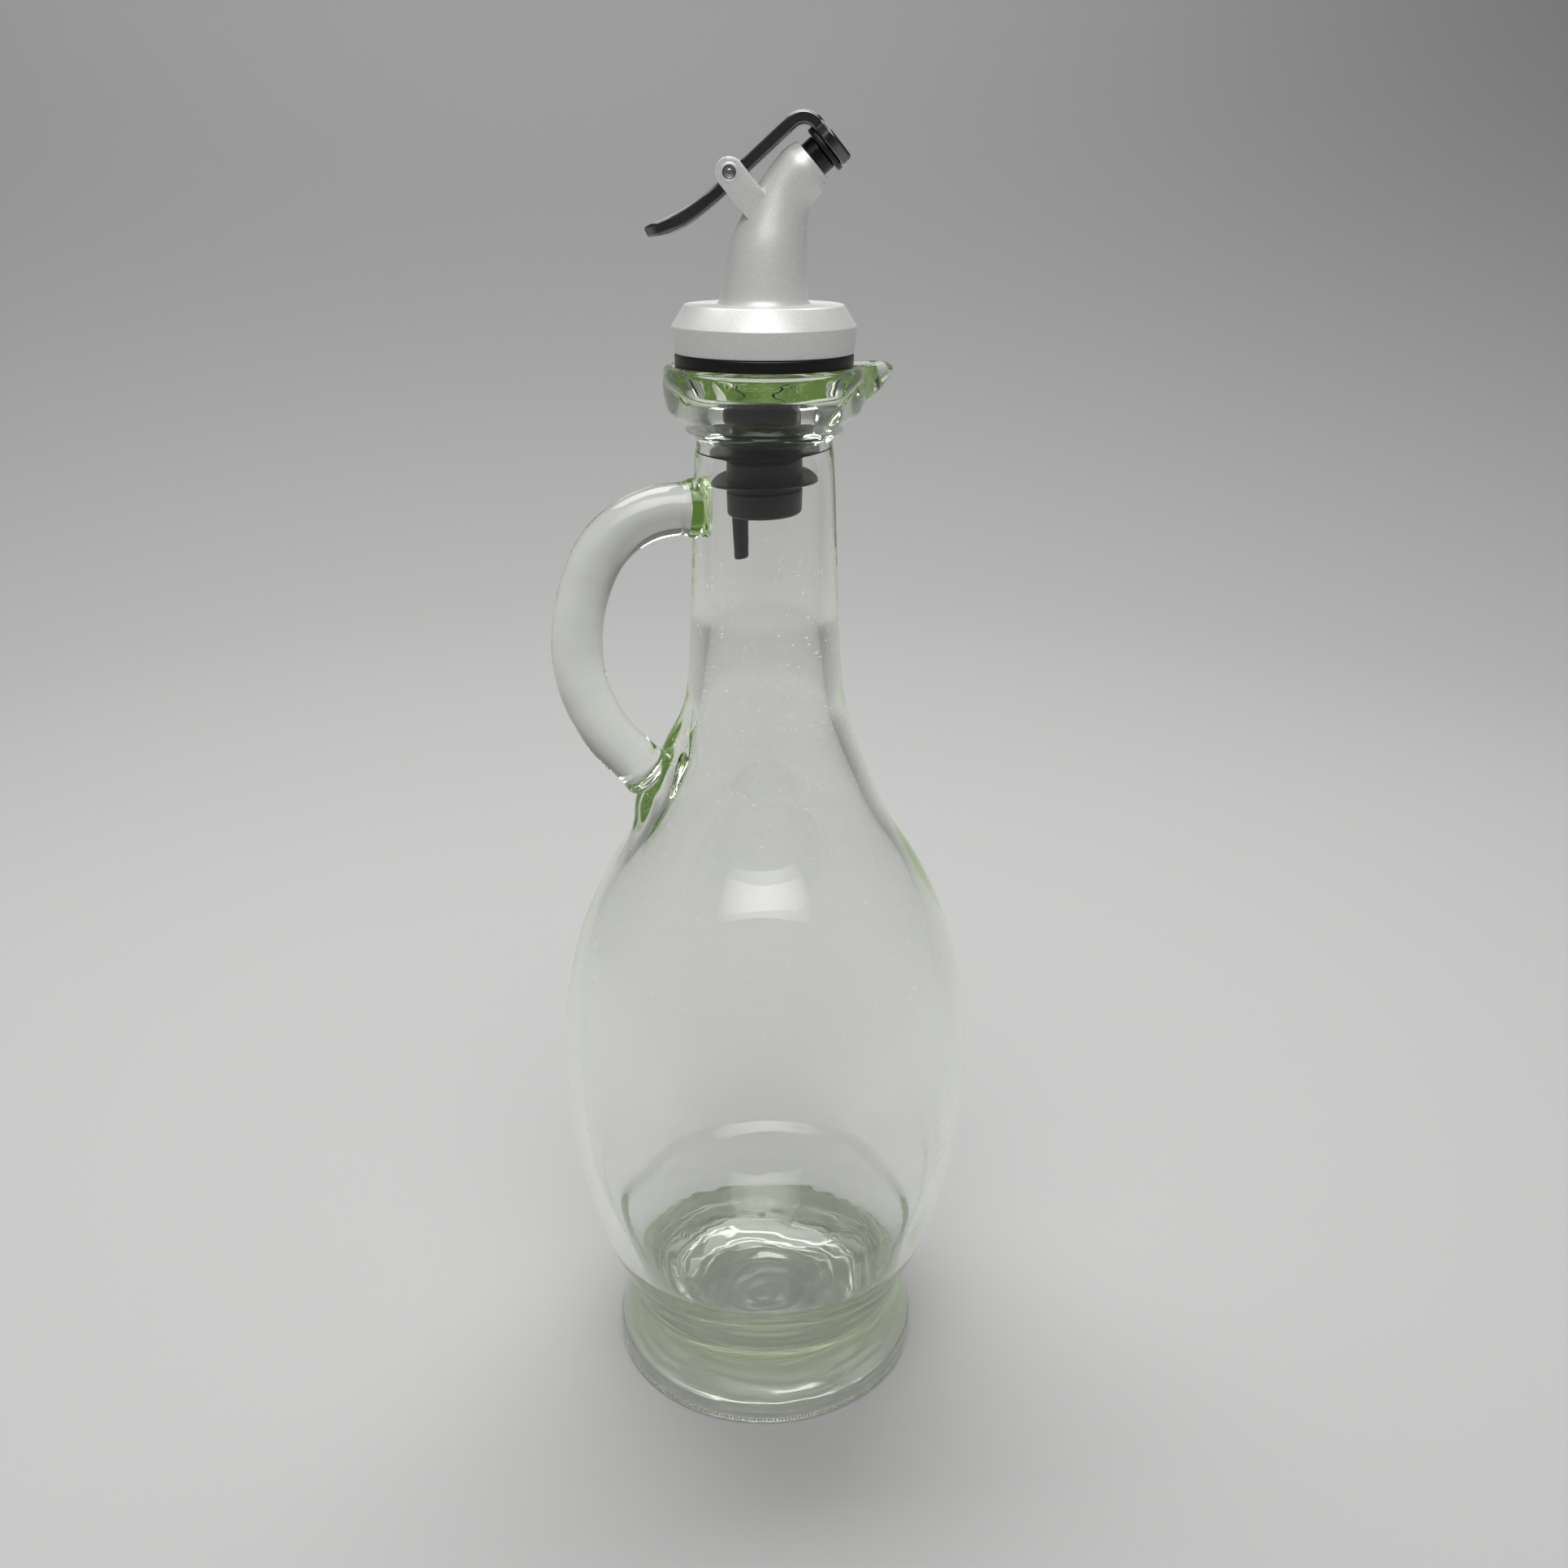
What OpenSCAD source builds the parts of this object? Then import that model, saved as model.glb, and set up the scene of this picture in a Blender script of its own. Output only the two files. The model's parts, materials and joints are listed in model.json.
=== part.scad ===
// Oil cruet: a glass bottle with a fused handle and a pouring lip, closed by a
// lever pourer on a rubber stopper. The base stands on Z = 0, the bottle's axis
// is Z, the handle is on -X and the glass lip on +X.

/* [Bottle] */
// Height of the glass rim above the table
bottle_h = 227.7; // [185:0.1:275]
// Largest outside radius of the body
body_r = 45.2; // [37:0.1:55]
// Height of the largest radius
belly_z = 74; // [62:1:88]
// Outside radius of the foot
foot_r = 35.6; // [30:0.1:43]
// Height of the foot's vertical rim
foot_rim_h = 4.6; // [3:0.1:7]
// Outside radius of the waist between foot and body
waist_r = 32.2; // [28:0.1:38]
// Height of the waist
waist_z = 17.5; // [14:0.1:21]
// Wall of the body
wall = 3; // [2:0.1:4]
// Thickness of the glass in the middle of the base
base_t = 9; // [6:0.1:12]
// Depth of the hollow under the base
punt_depth = 3.6; // [1:0.1:5]

/* [Neck and lip] */
// Radius of the bore that the stopper seals in
bore_r = 10.95; // [9.2:0.01:13.2]
// Wall at the foot of the neck
neck_wall = 4.55; // [2.5:0.05:7]
// Wall of the neck just under the lip
throat_wall = 2.25; // [1.6:0.05:4]
// Length of the neck from its foot to the lip's lower ring
neck_l = 43; // [36:1:52]
// Glass outside the gasket's seat in the rim
lip_wall = 1.95; // [1:0.05:4]
// Height of the lip above the throat
lip_h = 14.5; // [13:0.1:18]
// Reach of the pouring lip beyond the rim
beak_out = 6; // [4:0.1:9]
// Radius of the pouring lip's rounded tip
beak_tip_r = 2.8; // [2.2:0.1:3.4]

/* [Handle] */
// Radius of the glass rod
rod_r = 5.1; // [4:0.1:6.2]
// Depth of the rod's upper end below the rim
handle_drop = 27; // [24:0.5:34]
// Length of the straight upper end, from the bottle's axis
handle_lead = 17; // [15:0.5:20]
// Radii of the three bends, from top to bottom
bend_r1 = 19; // [17:0.5:22]
bend_r2 = 40; // [34:1:46]
bend_r3 = 31; // [26:1:36]
// Length of the straight lower end
handle_tail = 11; // [9:0.5:13]

/* [Stopper] */
// Radius of the rubber core
core_r = 7.5; // [7:0.1:8.4]
// Length of the core below the gasket's seat
core_l = 27.5; // [24:0.5:34]
// Height of the lowest fin above the core's end
fin_rise = 6.7; // [4:0.1:8]
// Distance between fins
fin_pitch = 5.7; // [4.5:0.1:6]
// Radial room of the sealing fins in the bore
fin_gap = 0.05; // [0.02:0.01:0.1]
// Outside radius of the air tube
vent_r = 1.7; // [1.4:0.1:1.9]
// Length of the air tube below the core
vent_l = 9.3; // [6:0.1:16]

/* [Pourer] */
// Turn of the pourer from the handle's plane, in degrees
pourer_turn = -12; // [-180:1:180]
// Outside radius of the gasket
gasket_r = 17; // [14.5:0.1:20.4]
// Thickness of the gasket
gasket_h = 3; // [2:0.1:4]
// Largest radius of the collar
collar_r = 17.5; // [17.2:0.1:20]
// Height of the collar
collar_h = 8.8; // [8:0.1:12]
// Radius of the stem where it leaves the collar
stem_r = 8.35; // [7.6:0.05:9.5]
// Height of the spout's mouth above the collar's foot
mouth_z = 33.4; // [30:0.1:39]
// Distance of the spout's mouth from the bottle's axis
mouth_x = 8.8; // [7.5:0.1:11]
// Angle of the spout above the horizontal
spout_tilt = 41; // [36:1:46]
// Radius of the spout's mouth
mouth_r = 4.35; // [4.1:0.05:5]
// Outside radius of the nozzle tube
nozzle_r = 3.3; // [3:0.05:3.6]
// Bore of the liquid channel
channel_r = 2.4; // [1.8:0.05:2.6]
// Length of the nozzle that shows
nozzle_out = 2.4; // [1.5:0.1:4]

/* [Lever] */
// Distance of the hinge pin behind the mouth, along the spout
pin_back = 12.6; // [11:0.1:14]
// Height of the hinge pin above the spout's axis
pin_up = 8.2; // [7.6:0.1:9]
// Radius of the hinge pin
pin_r = 1.1; // [0.9:0.01:1.32]
// Running gap round the hinge pin
pin_gap = 0.05; // [0.02:0.01:0.1]
// Outside radius of each ear
ear_r = 2.65; // [2.3:0.05:3]
// Thickness of each ear
ear_t = 1.4; // [1:0.1:2]
// Width of the lever's arm
arm_w = 5.6; // [4.8:0.1:7]
// Thickness of the lever's arm
arm_t = 2.45; // [2:0.05:2.8]
// Gap between the arm and each ear
ear_gap = 0.2; // [0.1:0.05:0.4]
// Length of the thumb end behind the pin
thumb_l = 18.4; // [15:0.1:22]
// Width of the thumb end
thumb_w = 8; // [6:0.1:11]
// Radius of the seal pad
seal_r = 4.4; // [4:0.1:5]
// Thickness of the seal pad
seal_t = 1; // [0.8:0.1:1.6]

/* [Hidden] */
$fn = 64;
eps = 0.01;
step_n = 5;

GLASS = "#b9c9b4";
RUBBER = "#18181a";
SILVER = "#c8c6c1";
CHROME = "#8d8f93";
STEEL = "#a9abae";

// Bottle radii and levels
neck_r = bore_r + neck_wall;
throat_r = bore_r + throat_wall;
throat_z = bottle_h - lip_h;
neck_z = throat_z - neck_l;
floor_z = base_t + punt_depth;
bearing_r = foot_r - 2;

// Gasket seat in the glass rim
seat_depth = 0.9;
seat_gap = 0.1;
rim_gap = 0.35;
seat_z = bottle_h - seat_depth;
collar_z = seat_z + gasket_h + 0.05;
seat_r = gasket_r + rim_gap;
lip_r = seat_r + lip_wall;
beak_reach = lip_r + beak_out;
funnel_top = seat_z - seat_gap - 0.2;
funnel_r = gasket_r - 1;
funnel_bottom = funnel_top - (funnel_r - bore_r) * 0.9;

// Stopper levels
core_end = seat_z - core_l;
tube_wall = 0.9;
vent_x = vent_r + tube_wall - core_r;
spigot_r = channel_r + 1.2;
spigot_x = 1.8;
vent_bore_r = vent_r - 0.75;

// Pourer levels, measured from the collar's foot
flange_h = 3.2;
flange_gap = 0.1;
cavity_h = 4.4;
collar_wall = 2;
elbow_z = mouth_z - (mouth_x - spigot_x) * tan(spout_tilt);
nozzle_in = 6.5;

// Lever levels, in the spout's own axes: u along the spout, v above its axis
arm_top = pin_up + 0.3;
arm_low = arm_top - arm_t;
seal_gap = 0.05;
plate_u = nozzle_out + seal_gap + seal_t;
plate_t = 2.3;
hub_r = pin_r + 1.3;
spring_wire = 0.45;
spring_turns = 3;
spring_mean_r = pin_r + 0.75;
spring_pitch = 0.6;
pocket_y = 0.6;

// ---- helpers -------------------------------------------------------------

function spline_at(a, b, c, d, t) =
    0.5 * (2 * b + (c - a) * t + (2 * a - 5 * b + 4 * c - d) * t * t
           + (3 * b - a - 3 * c + d) * t * t * t);

// Smooth line through the points p, with n steps between neighbours
function spline(p, n) =
    let (last = len(p) - 1)
    concat([for (i = [0:last - 1], k = [0:n - 1])
                spline_at(p[max(i - 1, 0)], p[i], p[i + 1], p[min(i + 2, last)], k / n)],
           [p[last]]);

// Point at a share f between a and b
function mix(a, b, f) = a + (b - a) * f;

// Arc round c from angle a0 to a1 in n steps
function arc(c, r, a0, a1, n = 8) =
    [for (k = [0:n]) c + r * [cos(mix(a0, a1, k / n)), sin(mix(a0, a1, k / n))]];

// Puts a part in the pourer's place: turned, and standing on the collar's foot
module on_pourer() {
    rotate([0, 0, pourer_turn]) translate([0, 0, collar_z]) children();
}

// Puts X on the spout's axis and Z above it, with the origin at the mouth
module on_spout() {
    on_pourer() translate([mouth_x, 0, mouth_z]) rotate([0, -spout_tilt, 0]) children();
}

// Cylinder between two heights
module post(r, z0, z1) { translate([0, 0, z0]) cylinder(r = r, h = z1 - z0); }

// Cylinder across the width, centred on y = 0
module cross_rod(r, w) { rotate([90, 0, 0]) cylinder(r = r, h = w, center = true); }

// Rod swept along the points of path, with one radius for each point. The path
// never runs along Y, which sets where each ring starts.
module rod_along(path, radii, n) {
    last = len(path) - 1;
    pts = [for (i = [0:last])
        let (t = path[min(i + 1, last)] - path[max(i - 1, 0)], d = t / norm(t),
             s = cross(d, [0, 1, 0]), side = s / norm(s), up = cross(side, d))
        each [for (k = [0:n - 1])
            path[i] + radii[i] * (cos(360 * k / n) * side + sin(360 * k / n) * up)]];
    sides = [for (i = [0:last - 1], k = [0:n - 1])
        [i * n + k, i * n + (k + 1) % n, (i + 1) * n + (k + 1) % n, (i + 1) * n + k]];
    polyhedron(points = pts, faces = concat([[for (k = [n - 1:-1:0]) k]], sides,
                                            [[for (k = [0:n - 1]) last * n + k]]));
}

// ---- bottle --------------------------------------------------------------

// Body curve from waist to belly and on to the foot of the neck. Each pair is
// the share of the height and the share of the change in radius.
rise_shape = [[0.15, 0.25], [0.33, 0.56], [0.61, 0.85]];
fall_shape = [[0.19, 0.966], [0.354, 0.838], [0.5, 0.63], [0.625, 0.38], [0.75, 0.199], [0.875, 0.06]];

function body_curve(r0, r1, r2) =
    concat([[r0, waist_z]],
           [for (s = rise_shape) [mix(r0, r1, s[1]), mix(waist_z, belly_z, s[0])]],
           [[r1, belly_z]],
           [for (s = fall_shape) [mix(r2, r1, s[1]), mix(belly_z, neck_z, s[0])]],
           [[r2, neck_z]]);

function foot_curve() =
    concat([[bearing_r, 0]],
           arc([foot_r - 1.4, 1.4], 1.4, -70, 0, 4),
           spline([[foot_r, foot_rim_h], [foot_r - 0.7, foot_rim_h + 3.2],
                   [mix(waist_r, foot_r, 0.35), mix(foot_rim_h, waist_z, 0.55)],
                   [waist_r, waist_z - 0.4]], step_n));

function lip_curve() =
    spline([[throat_r + 0.6, throat_z - 7], [throat_r, throat_z], [throat_r + 0.7, throat_z + 1.6],
            [throat_r + 2.1, throat_z + 3.3], [mix(throat_r, lip_r, 0.52), throat_z + 4.1],
            [mix(throat_r, lip_r, 0.86), throat_z + 5.9], [lip_r, throat_z + 8.6],
            [lip_r, bottle_h - 2.6], [lip_r - 0.7, bottle_h - 0.4], [lip_r - 1.2, bottle_h]], 4);

function outside() = concat(foot_curve(), spline(body_curve(waist_r, body_r, neck_r), step_n), lip_curve());

// The wall is thicker on the slope of the shoulder, measured across the axis
function inside() =
    concat([[0, floor_z], [0.45 * waist_r, floor_z + 0.4]],
           spline([[0.75 * waist_r, floor_z + 3], [0.9 * waist_r, waist_z + 4],
                   [waist_r + 3.2 - wall - 0.8, waist_z + 9]], step_n),
           [for (p = spline(body_curve(waist_r, body_r, neck_r), step_n))
               if (p[1] > waist_z + 12 && p[1] < neck_z - 2)
                   [max(p[0] - wall * (p[1] > belly_z ? 1.25 : 1), bore_r), p[1]]],
           [[bore_r, neck_z + 8], [bore_r, funnel_bottom - 1]],
           [[bore_r + 0.3, funnel_bottom], [funnel_r, funnel_top - 0.3], [funnel_r + 0.3, funnel_top]],
           [[seat_r - 0.3, funnel_top], [seat_r, funnel_top + 0.3], [seat_r, bottle_h - 0.5],
            [seat_r + 0.4, bottle_h]]);

function reversed(p) = [for (i = [len(p) - 1:-1:0]) p[i]];

module bottle_turned() {
    punt = [[0, punt_depth], [0.5 * bearing_r, punt_depth - 0.4], [bearing_r - 4, 1.2], [bearing_r - 2.4, 0]];
    rotate_extrude($fn = 128) polygon(concat(punt, outside(), reversed(inside())));
}

// Drawn-out pouring lip: a cone that narrows to a rounded tip
module beak() {
    root_r = 7.1;
    root = [lip_r - 7.3, bottle_h - 6.7];
    tip = [beak_reach - beak_tip_r, bottle_h - 2.3];
    run = tip - root;
    slope = atan2(root_r - beak_tip_r, norm(run));
    translate([root[0], 0, root[1]]) rotate([0, 90 - atan2(run[1], run[0]), 0])
        rotate_extrude() polygon(concat([[0, 0], [root_r, 0]],
                                        arc([0, norm(run)], beak_tip_r, slope, 90, 4)));
}

module bottle() {
    groove_r = 4;
    groove_depth = 1.5;
    color(GLASS) difference() {
        union() {
            bottle_turned();
            difference() {
                beak();
                post(lip_r - 0.8, throat_z - 9, bottle_h + 2);
            }
        }
        translate([seat_r - 1, 0, bottle_h - groove_depth + groove_r]) rotate([0, 88, 0])
            cylinder(r = groove_r, h = beak_reach);
    }
}

// ---- handle --------------------------------------------------------------

turn1 = 65;
turn2 = 25;
turn3 = 43;
handle_z = bottle_h - handle_drop;

// Ends of the three bends, in the plane y = 0
bend1_c = [-handle_lead, handle_z - bend_r1];
bend1_end = bend1_c + bend_r1 * [-sin(turn1), cos(turn1)];
bend2_c = bend1_end + bend_r2 * [sin(turn1), -cos(turn1)];
bend2_end = bend2_c + bend_r2 * [-sin(turn1 + turn2), cos(turn1 + turn2)];
bend3_c = bend2_end + bend_r3 * [sin(turn1 + turn2), -cos(turn1 + turn2)];
bend3_end = bend3_c + bend_r3 * [-sin(turn1 + turn2 + turn3), cos(turn1 + turn2 + turn3)];

// Middle line of the rod, from the neck to the shoulder
tail_dir = 180 + turn1 + turn2 + turn3;
tail_end = bend3_end + handle_tail * [cos(tail_dir), sin(tail_dir)];
function tail_of(p) = [for (i = [1:len(p) - 1]) p[i]];
handle_line = concat(
    [[-bore_r - 0.6, handle_z], [-throat_r - 0.4, handle_z], [-throat_r - 1.8, handle_z]],
    arc(bend1_c, bend_r1, 90, 90 + turn1, 8),
    tail_of(arc(bend2_c, bend_r2, 90 + turn1, 90 + turn1 + turn2, 5)),
    tail_of(arc(bend3_c, bend_r3, 90 + turn1 + turn2, 90 + turn1 + turn2 + turn3, 7)),
    [mix(bend3_end, tail_end, 0.45), mix(bend3_end, tail_end, 0.75), tail_end]);

// Outside radius of the bottle at height z, on the slope of body and neck
body_slope = [for (p = spline(body_curve(waist_r, body_r, neck_r), step_n)) [p[1], p[0]]];
function radius_at(z) = lookup(z, concat(body_slope, [[throat_z, throat_r]]));

// Middle of the bottle's wall behind the handle's two ends
module wall_middle(z0, z1) {
    translate([0, 0, z0]) cylinder(r1 = radius_at(z0) - wall / 2, r2 = radius_at(z1) - wall / 2, h = z1 - z0);
}

// The rod's two ends run into the bottle's wall, where the glass is fused
module handle() {
    flare = [1.5, 1, 0.3];
    pad_r = rod_r + 2.2;
    pad_c = tail_end + 1.5 * [cos(tail_dir), sin(tail_dir)];
    last = len(handle_line) - 1;
    radii = [for (i = [0:last]) rod_r + (i < 3 ? flare[i] : i > last - 3 ? flare[last - i] : 0)];
    color(GLASS) difference() {
        union() {
            rod_along([for (p = handle_line) [p[0], 0, p[1]]], radii, 32);
            // Gather of glass that fuses the lower end to the shoulder
            translate([pad_c[0], 0, pad_c[1]]) sphere(r = pad_r);
            translate([pad_c[0] - 2.6, 0, pad_c[1] - 7]) sphere(r = rod_r);
        }
        wall_middle(handle_z - 2.2 * rod_r, handle_z + 2.2 * rod_r);
        wall_middle(pad_c[1] - 2.2 * pad_r, pad_c[1] + 1.6 * pad_r);
    }
}

// ---- stopper and air tube ------------------------------------------------

// Rubber fin at height z: a thin rim on a root that slopes down to the core
module fin(z, r, root) {
    translate([0, 0, z]) rotate_extrude()
        polygon([[core_r - 1, -root], [core_r, -root], [r - 0.3, -0.5], [r, -0.3], [r, 0.3], [r - 0.3, 0.5],
                 [core_r, 0.8], [core_r - 1, 0.8]]);
}

module stopper() {
    edge = 1.3;
    fin0 = core_end + fin_rise;
    color(RUBBER) rotate([0, 0, pourer_turn]) difference() {
        union() {
            rotate_extrude() polygon(concat([[0, core_end]],
                arc([core_r - edge, core_end + edge], edge, -90, 0, 6), [[core_r, collar_z], [0, collar_z]]));
            fin(fin0, bore_r - 0.4, 0.8);
            fin(fin0 + fin_pitch, bore_r - fin_gap, 2.6);
            fin(fin0 + 2 * fin_pitch, bore_r - fin_gap, 2.6);
        }
        translate([spigot_x, 0, 0]) post(spigot_r, core_end - 1, collar_z + 1);
        translate([vent_x, 0, 0]) post(vent_r, core_end - 1, collar_z + 1);
    }
}

module vent_tube() {
    tube_end = core_end - vent_l;
    color(RUBBER) rotate([0, 0, pourer_turn]) translate([vent_x, 0, 0]) difference() {
        union() {
            post(vent_r, core_end, collar_z + flange_h);
            translate([0, 0, tube_end]) cylinder(r1 = vent_r - 0.25, r2 = vent_r, h = vent_l);
        }
        post(vent_bore_r, tube_end - 1, collar_z + flange_h + 1);
    }
}

// ---- gasket and inner body -----------------------------------------------

module gasket() {
    color(RUBBER) difference() {
        post(gasket_r, seat_z, seat_z + gasket_h);
        post(core_r + 0.08, seat_z - 1, collar_z + 1);
    }
}

// Black inner body: a flange snapped into the collar, a spigot down through the
// stopper and a chimney up the stem
module insert() {
    color(RUBBER) rotate([0, 0, pourer_turn]) difference() {
        union() {
            post(collar_r - collar_wall - flange_gap, collar_z, collar_z + flange_h);
            translate([spigot_x, 0, 0]) post(spigot_r, core_end + 0.6, collar_z + elbow_z);
        }
        translate([spigot_x, 0, 0]) post(channel_r, core_end, collar_z + elbow_z + 1);
        translate([vent_x, 0, 0]) post(vent_r, collar_z - 1, collar_z + flange_h + 1);
    }
}

// ---- housing -------------------------------------------------------------

// Rear and front edges of the stem in the plane y = 0. Their heights grow with
// the mouth's, and the last two points of each follow the mouth itself.
drawn_mouth_z = 33.4;
stem_k = mouth_z / drawn_mouth_z;
spout_up = [-sin(spout_tilt), cos(spout_tilt)];
mouth_c = [mouth_x, mouth_z];
rear = [[-stem_r, collar_h - 0.8], [-7.8, 13.7 * stem_k], [-6.4, 19.3 * stem_k], [-4.2, 24 * stem_k],
        [-0.9, 29.8 * stem_k], mouth_c + spout_up * (mouth_r + 0.5) - [3.2, 2.6],
        mouth_c + spout_up * mouth_r];
front = [[stem_r, collar_h - 0.8], [8.05, 13.2 * stem_k], [8, 18 * stem_k], [8, 21.8 * stem_k],
         [8.5, 25.4 * stem_k], mouth_c - spout_up * (mouth_r - 0.1) - [1.7, 1.7],
         mouth_c - spout_up * mouth_r];

// Loft of circles that span from the rear edge to the front edge
module stem() {
    n = 40;
    a = spline(rear, 3);
    b = spline(front, 3);
    rings = len(a);
    pts = [for (i = [0:rings - 1], k = [0:n - 1])
        let (c = (a[i] + b[i]) / 2, h = (b[i] - a[i]) / 2, w = 360 * k / n)
        [c[0] + h[0] * cos(w), norm(h) * sin(w), c[1] + h[1] * cos(w)]];
    sides = [for (i = [0:rings - 2], k = [0:n - 1])
        [i * n + k, (i + 1) * n + k, (i + 1) * n + (k + 1) % n, i * n + (k + 1) % n]];
    foot = [for (k = [0:n - 1]) k];
    top = [for (k = [n - 1:-1:0]) (rings - 1) * n + k];
    polyhedron(points = pts, faces = concat([foot], sides, [top]));
}

module collar() {
    bevel_z = collar_h - 3.9;
    top_r = collar_r - 2.15;
    rotate_extrude($fn = 96) polygon(concat(
        [[collar_r - collar_wall, 0], [collar_r - 0.65, 0], [collar_r - 0.45, 0.2]],
        arc([collar_r - 0.6, bevel_z - 0.3], 0.6, 0, 40, 4),
        arc([top_r - 0.9, collar_h - 0.9], 0.9, 35, 90, 4),
        [[0, collar_h], [0, cavity_h], [collar_r - collar_wall, cavity_h]]));
}

// One ear: a round eye on a straight root that runs down into the stem
module ear(y0) {
    root_l = 9.4;
    translate([-pin_back, y0, pin_up]) rotate([-90, 0, 0]) linear_extrude(ear_t) union() {
        circle(r = ear_r);
        translate([-ear_r, 0]) square([2 * ear_r, root_l]);
    }
}

module housing() {
    ear_in = arm_w / 2 + ear_gap;
    recess = 0.4;
    color(SILVER) difference() {
        union() {
            on_pourer() collar();
            on_pourer() stem();
            on_spout() ear(ear_in);
            on_spout() ear(-ear_in - ear_t);
        }
        on_pourer() translate([spigot_x, 0, 0]) post(spigot_r, cavity_h - 1, elbow_z);
        on_spout() translate([-nozzle_in, 0, 0]) rotate([0, 90, 0]) cylinder(r = nozzle_r, h = nozzle_in + 2);
        on_spout() translate([-pin_back, 0, pin_up]) cross_rod(pin_r, 4 * ear_in);
        for (side = [-1, 1])
            on_spout() translate([-pin_back, side * (ear_in + ear_t), pin_up])
                cross_rod(pin_r + 0.5, 2 * recess);
    }
}

module nozzle_tube() {
    tube_l = nozzle_in + nozzle_out;
    color(RUBBER) on_spout() translate([-nozzle_in, 0, 0]) rotate([0, 90, 0]) difference() {
        cylinder(r = nozzle_r, h = tube_l);
        translate([0, 0, -1]) cylinder(r = channel_r, h = tube_l + 2);
    }
}

// ---- lever ---------------------------------------------------------------

// Outline of the lever's side in the spout's axes
lever_tip_u = -pin_back - thumb_l;
function lever_side() =
    let (low_v = -seal_r + 0.2)
    concat(
        // top of the arm, from the thumb end to the bend over the mouth
        spline([[lever_tip_u + 1.1, arm_top + 2.8], [lever_tip_u + 7.6, arm_top + 0.9],
                [lever_tip_u + 14, arm_top + 0.05], [-pin_back, arm_top]], 5),
        arc([plate_u + plate_t - 3.2, arm_top - 3.2], 3.2, 90, 0, 8),
        // rounded lower end of the plate
        arc([plate_u + plate_t - 1.1, low_v + 1.1], 1.1, 0, -90, 4),
        arc([plate_u + 0.4, low_v + 0.4], 0.4, -90, -180, 2),
        // inside of the bend and underside of the arm
        arc([plate_u - 1.2, arm_low - 1.2], 1.2, 0, 90, 4),
        spline([[-pin_back, arm_low], [lever_tip_u + 12.4, arm_low], [lever_tip_u + 5.2, arm_low + 0.75],
                [lever_tip_u + 0.7, arm_low + 2.4], [lever_tip_u, arm_low + 3.6]], 5));

module lever_bar(w) {
    rotate([90, 0, 0]) translate([0, 0, -w / 2]) linear_extrude(w) polygon(lever_side());
}

module lever() {
    thumb_u = -pin_back - 5.5;
    color(CHROME) on_spout() difference() {
        union() {
            lever_bar(arm_w);
            intersection() {
                lever_bar(thumb_w);
                translate([lever_tip_u - 1, -thumb_w, 0]) cube([thumb_u - lever_tip_u, 2 * thumb_w, 20]);
            }
            // round plate that carries the seal
            translate([plate_u, 0, 0]) rotate([0, 90, 0]) cylinder(r = seal_r, h = plate_t);
            translate([-pin_back, 0, pin_up]) cross_rod(hub_r, arm_w);
        }
        translate([-pin_back, 0, pin_up]) cross_rod(pin_r + pin_gap, 2 * arm_w);
        // pocket for the spring's coil
        translate([-pin_back, arm_w / 2 + pocket_y, pin_up]) cross_rod(hub_r + 0.4, arm_w);
        // socket for the seal's stud
        translate([plate_u - 1, 0, 0]) rotate([0, 90, 0]) cylinder(r = 1.2, h = 2.4);
    }
}

module lever_seal() {
    color(RUBBER) on_spout() rotate([0, 90, 0]) union() {
        translate([0, 0, plate_u - seal_t]) cylinder(r = seal_r, h = seal_t);
        translate([0, 0, plate_u - eps]) cylinder(r = 1.2, h = 1.3);
    }
}

module hinge_pin() {
    pin_l = arm_w + 2 * (ear_gap + ear_t) - 0.3;
    dimple = 0.4;
    color(STEEL) on_spout() translate([-pin_back, 0, pin_up]) difference() {
        cross_rod(pin_r, pin_l);
        for (side = [-1, 1])
            translate([0, side * pin_l / 2, 0]) cross_rod(pin_r * 0.5, 2 * dimple);
    }
}

// Torsion spring: a coil round the pin, one leg under the thumb end and one
// down to the stem, swept as one wire
module torsion_spring() {
    turn_steps = 20;
    y0 = pocket_y + 0.35;
    y1 = y0 + spring_pitch * spring_turns;
    low = spring_mean_r;
    coil = [for (k = [turn_steps / 4:turn_steps * spring_turns])
        let (w = 360 * k / turn_steps)
        [-low * sin(w), mix(y0, y1, k / turn_steps / spring_turns), -low * cos(w)]];
    leg_a = [[0.7 - low, y0, -5.6], [0.7 - low, y0, -2.6]];
    leg_b = [[-1.1, y1, -low - 0.65], [-2.6, y1, -low - 0.95], [-5, y1, -low - 1.4]];
    path = concat(leg_a, coil, leg_b);
    color(STEEL) on_spout() translate([-pin_back, 0, pin_up])
        rod_along(path, [for (p = path) spring_wire / 2], 8);
}

bottle();
handle();
stopper();
gasket();
insert();
vent_tube();
housing();
nozzle_tube();
hinge_pin();
torsion_spring();
lever();
lever_seal();
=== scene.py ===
"""Looks of the oil cruet: glass bottle, rubber stopper, silver pourer, chrome lever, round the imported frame."""

import json
import logging
import math
from dataclasses import dataclass, field
from enum import Enum

import bpy
import numpy as np
from mathutils import Matrix, Vector, noise


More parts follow.
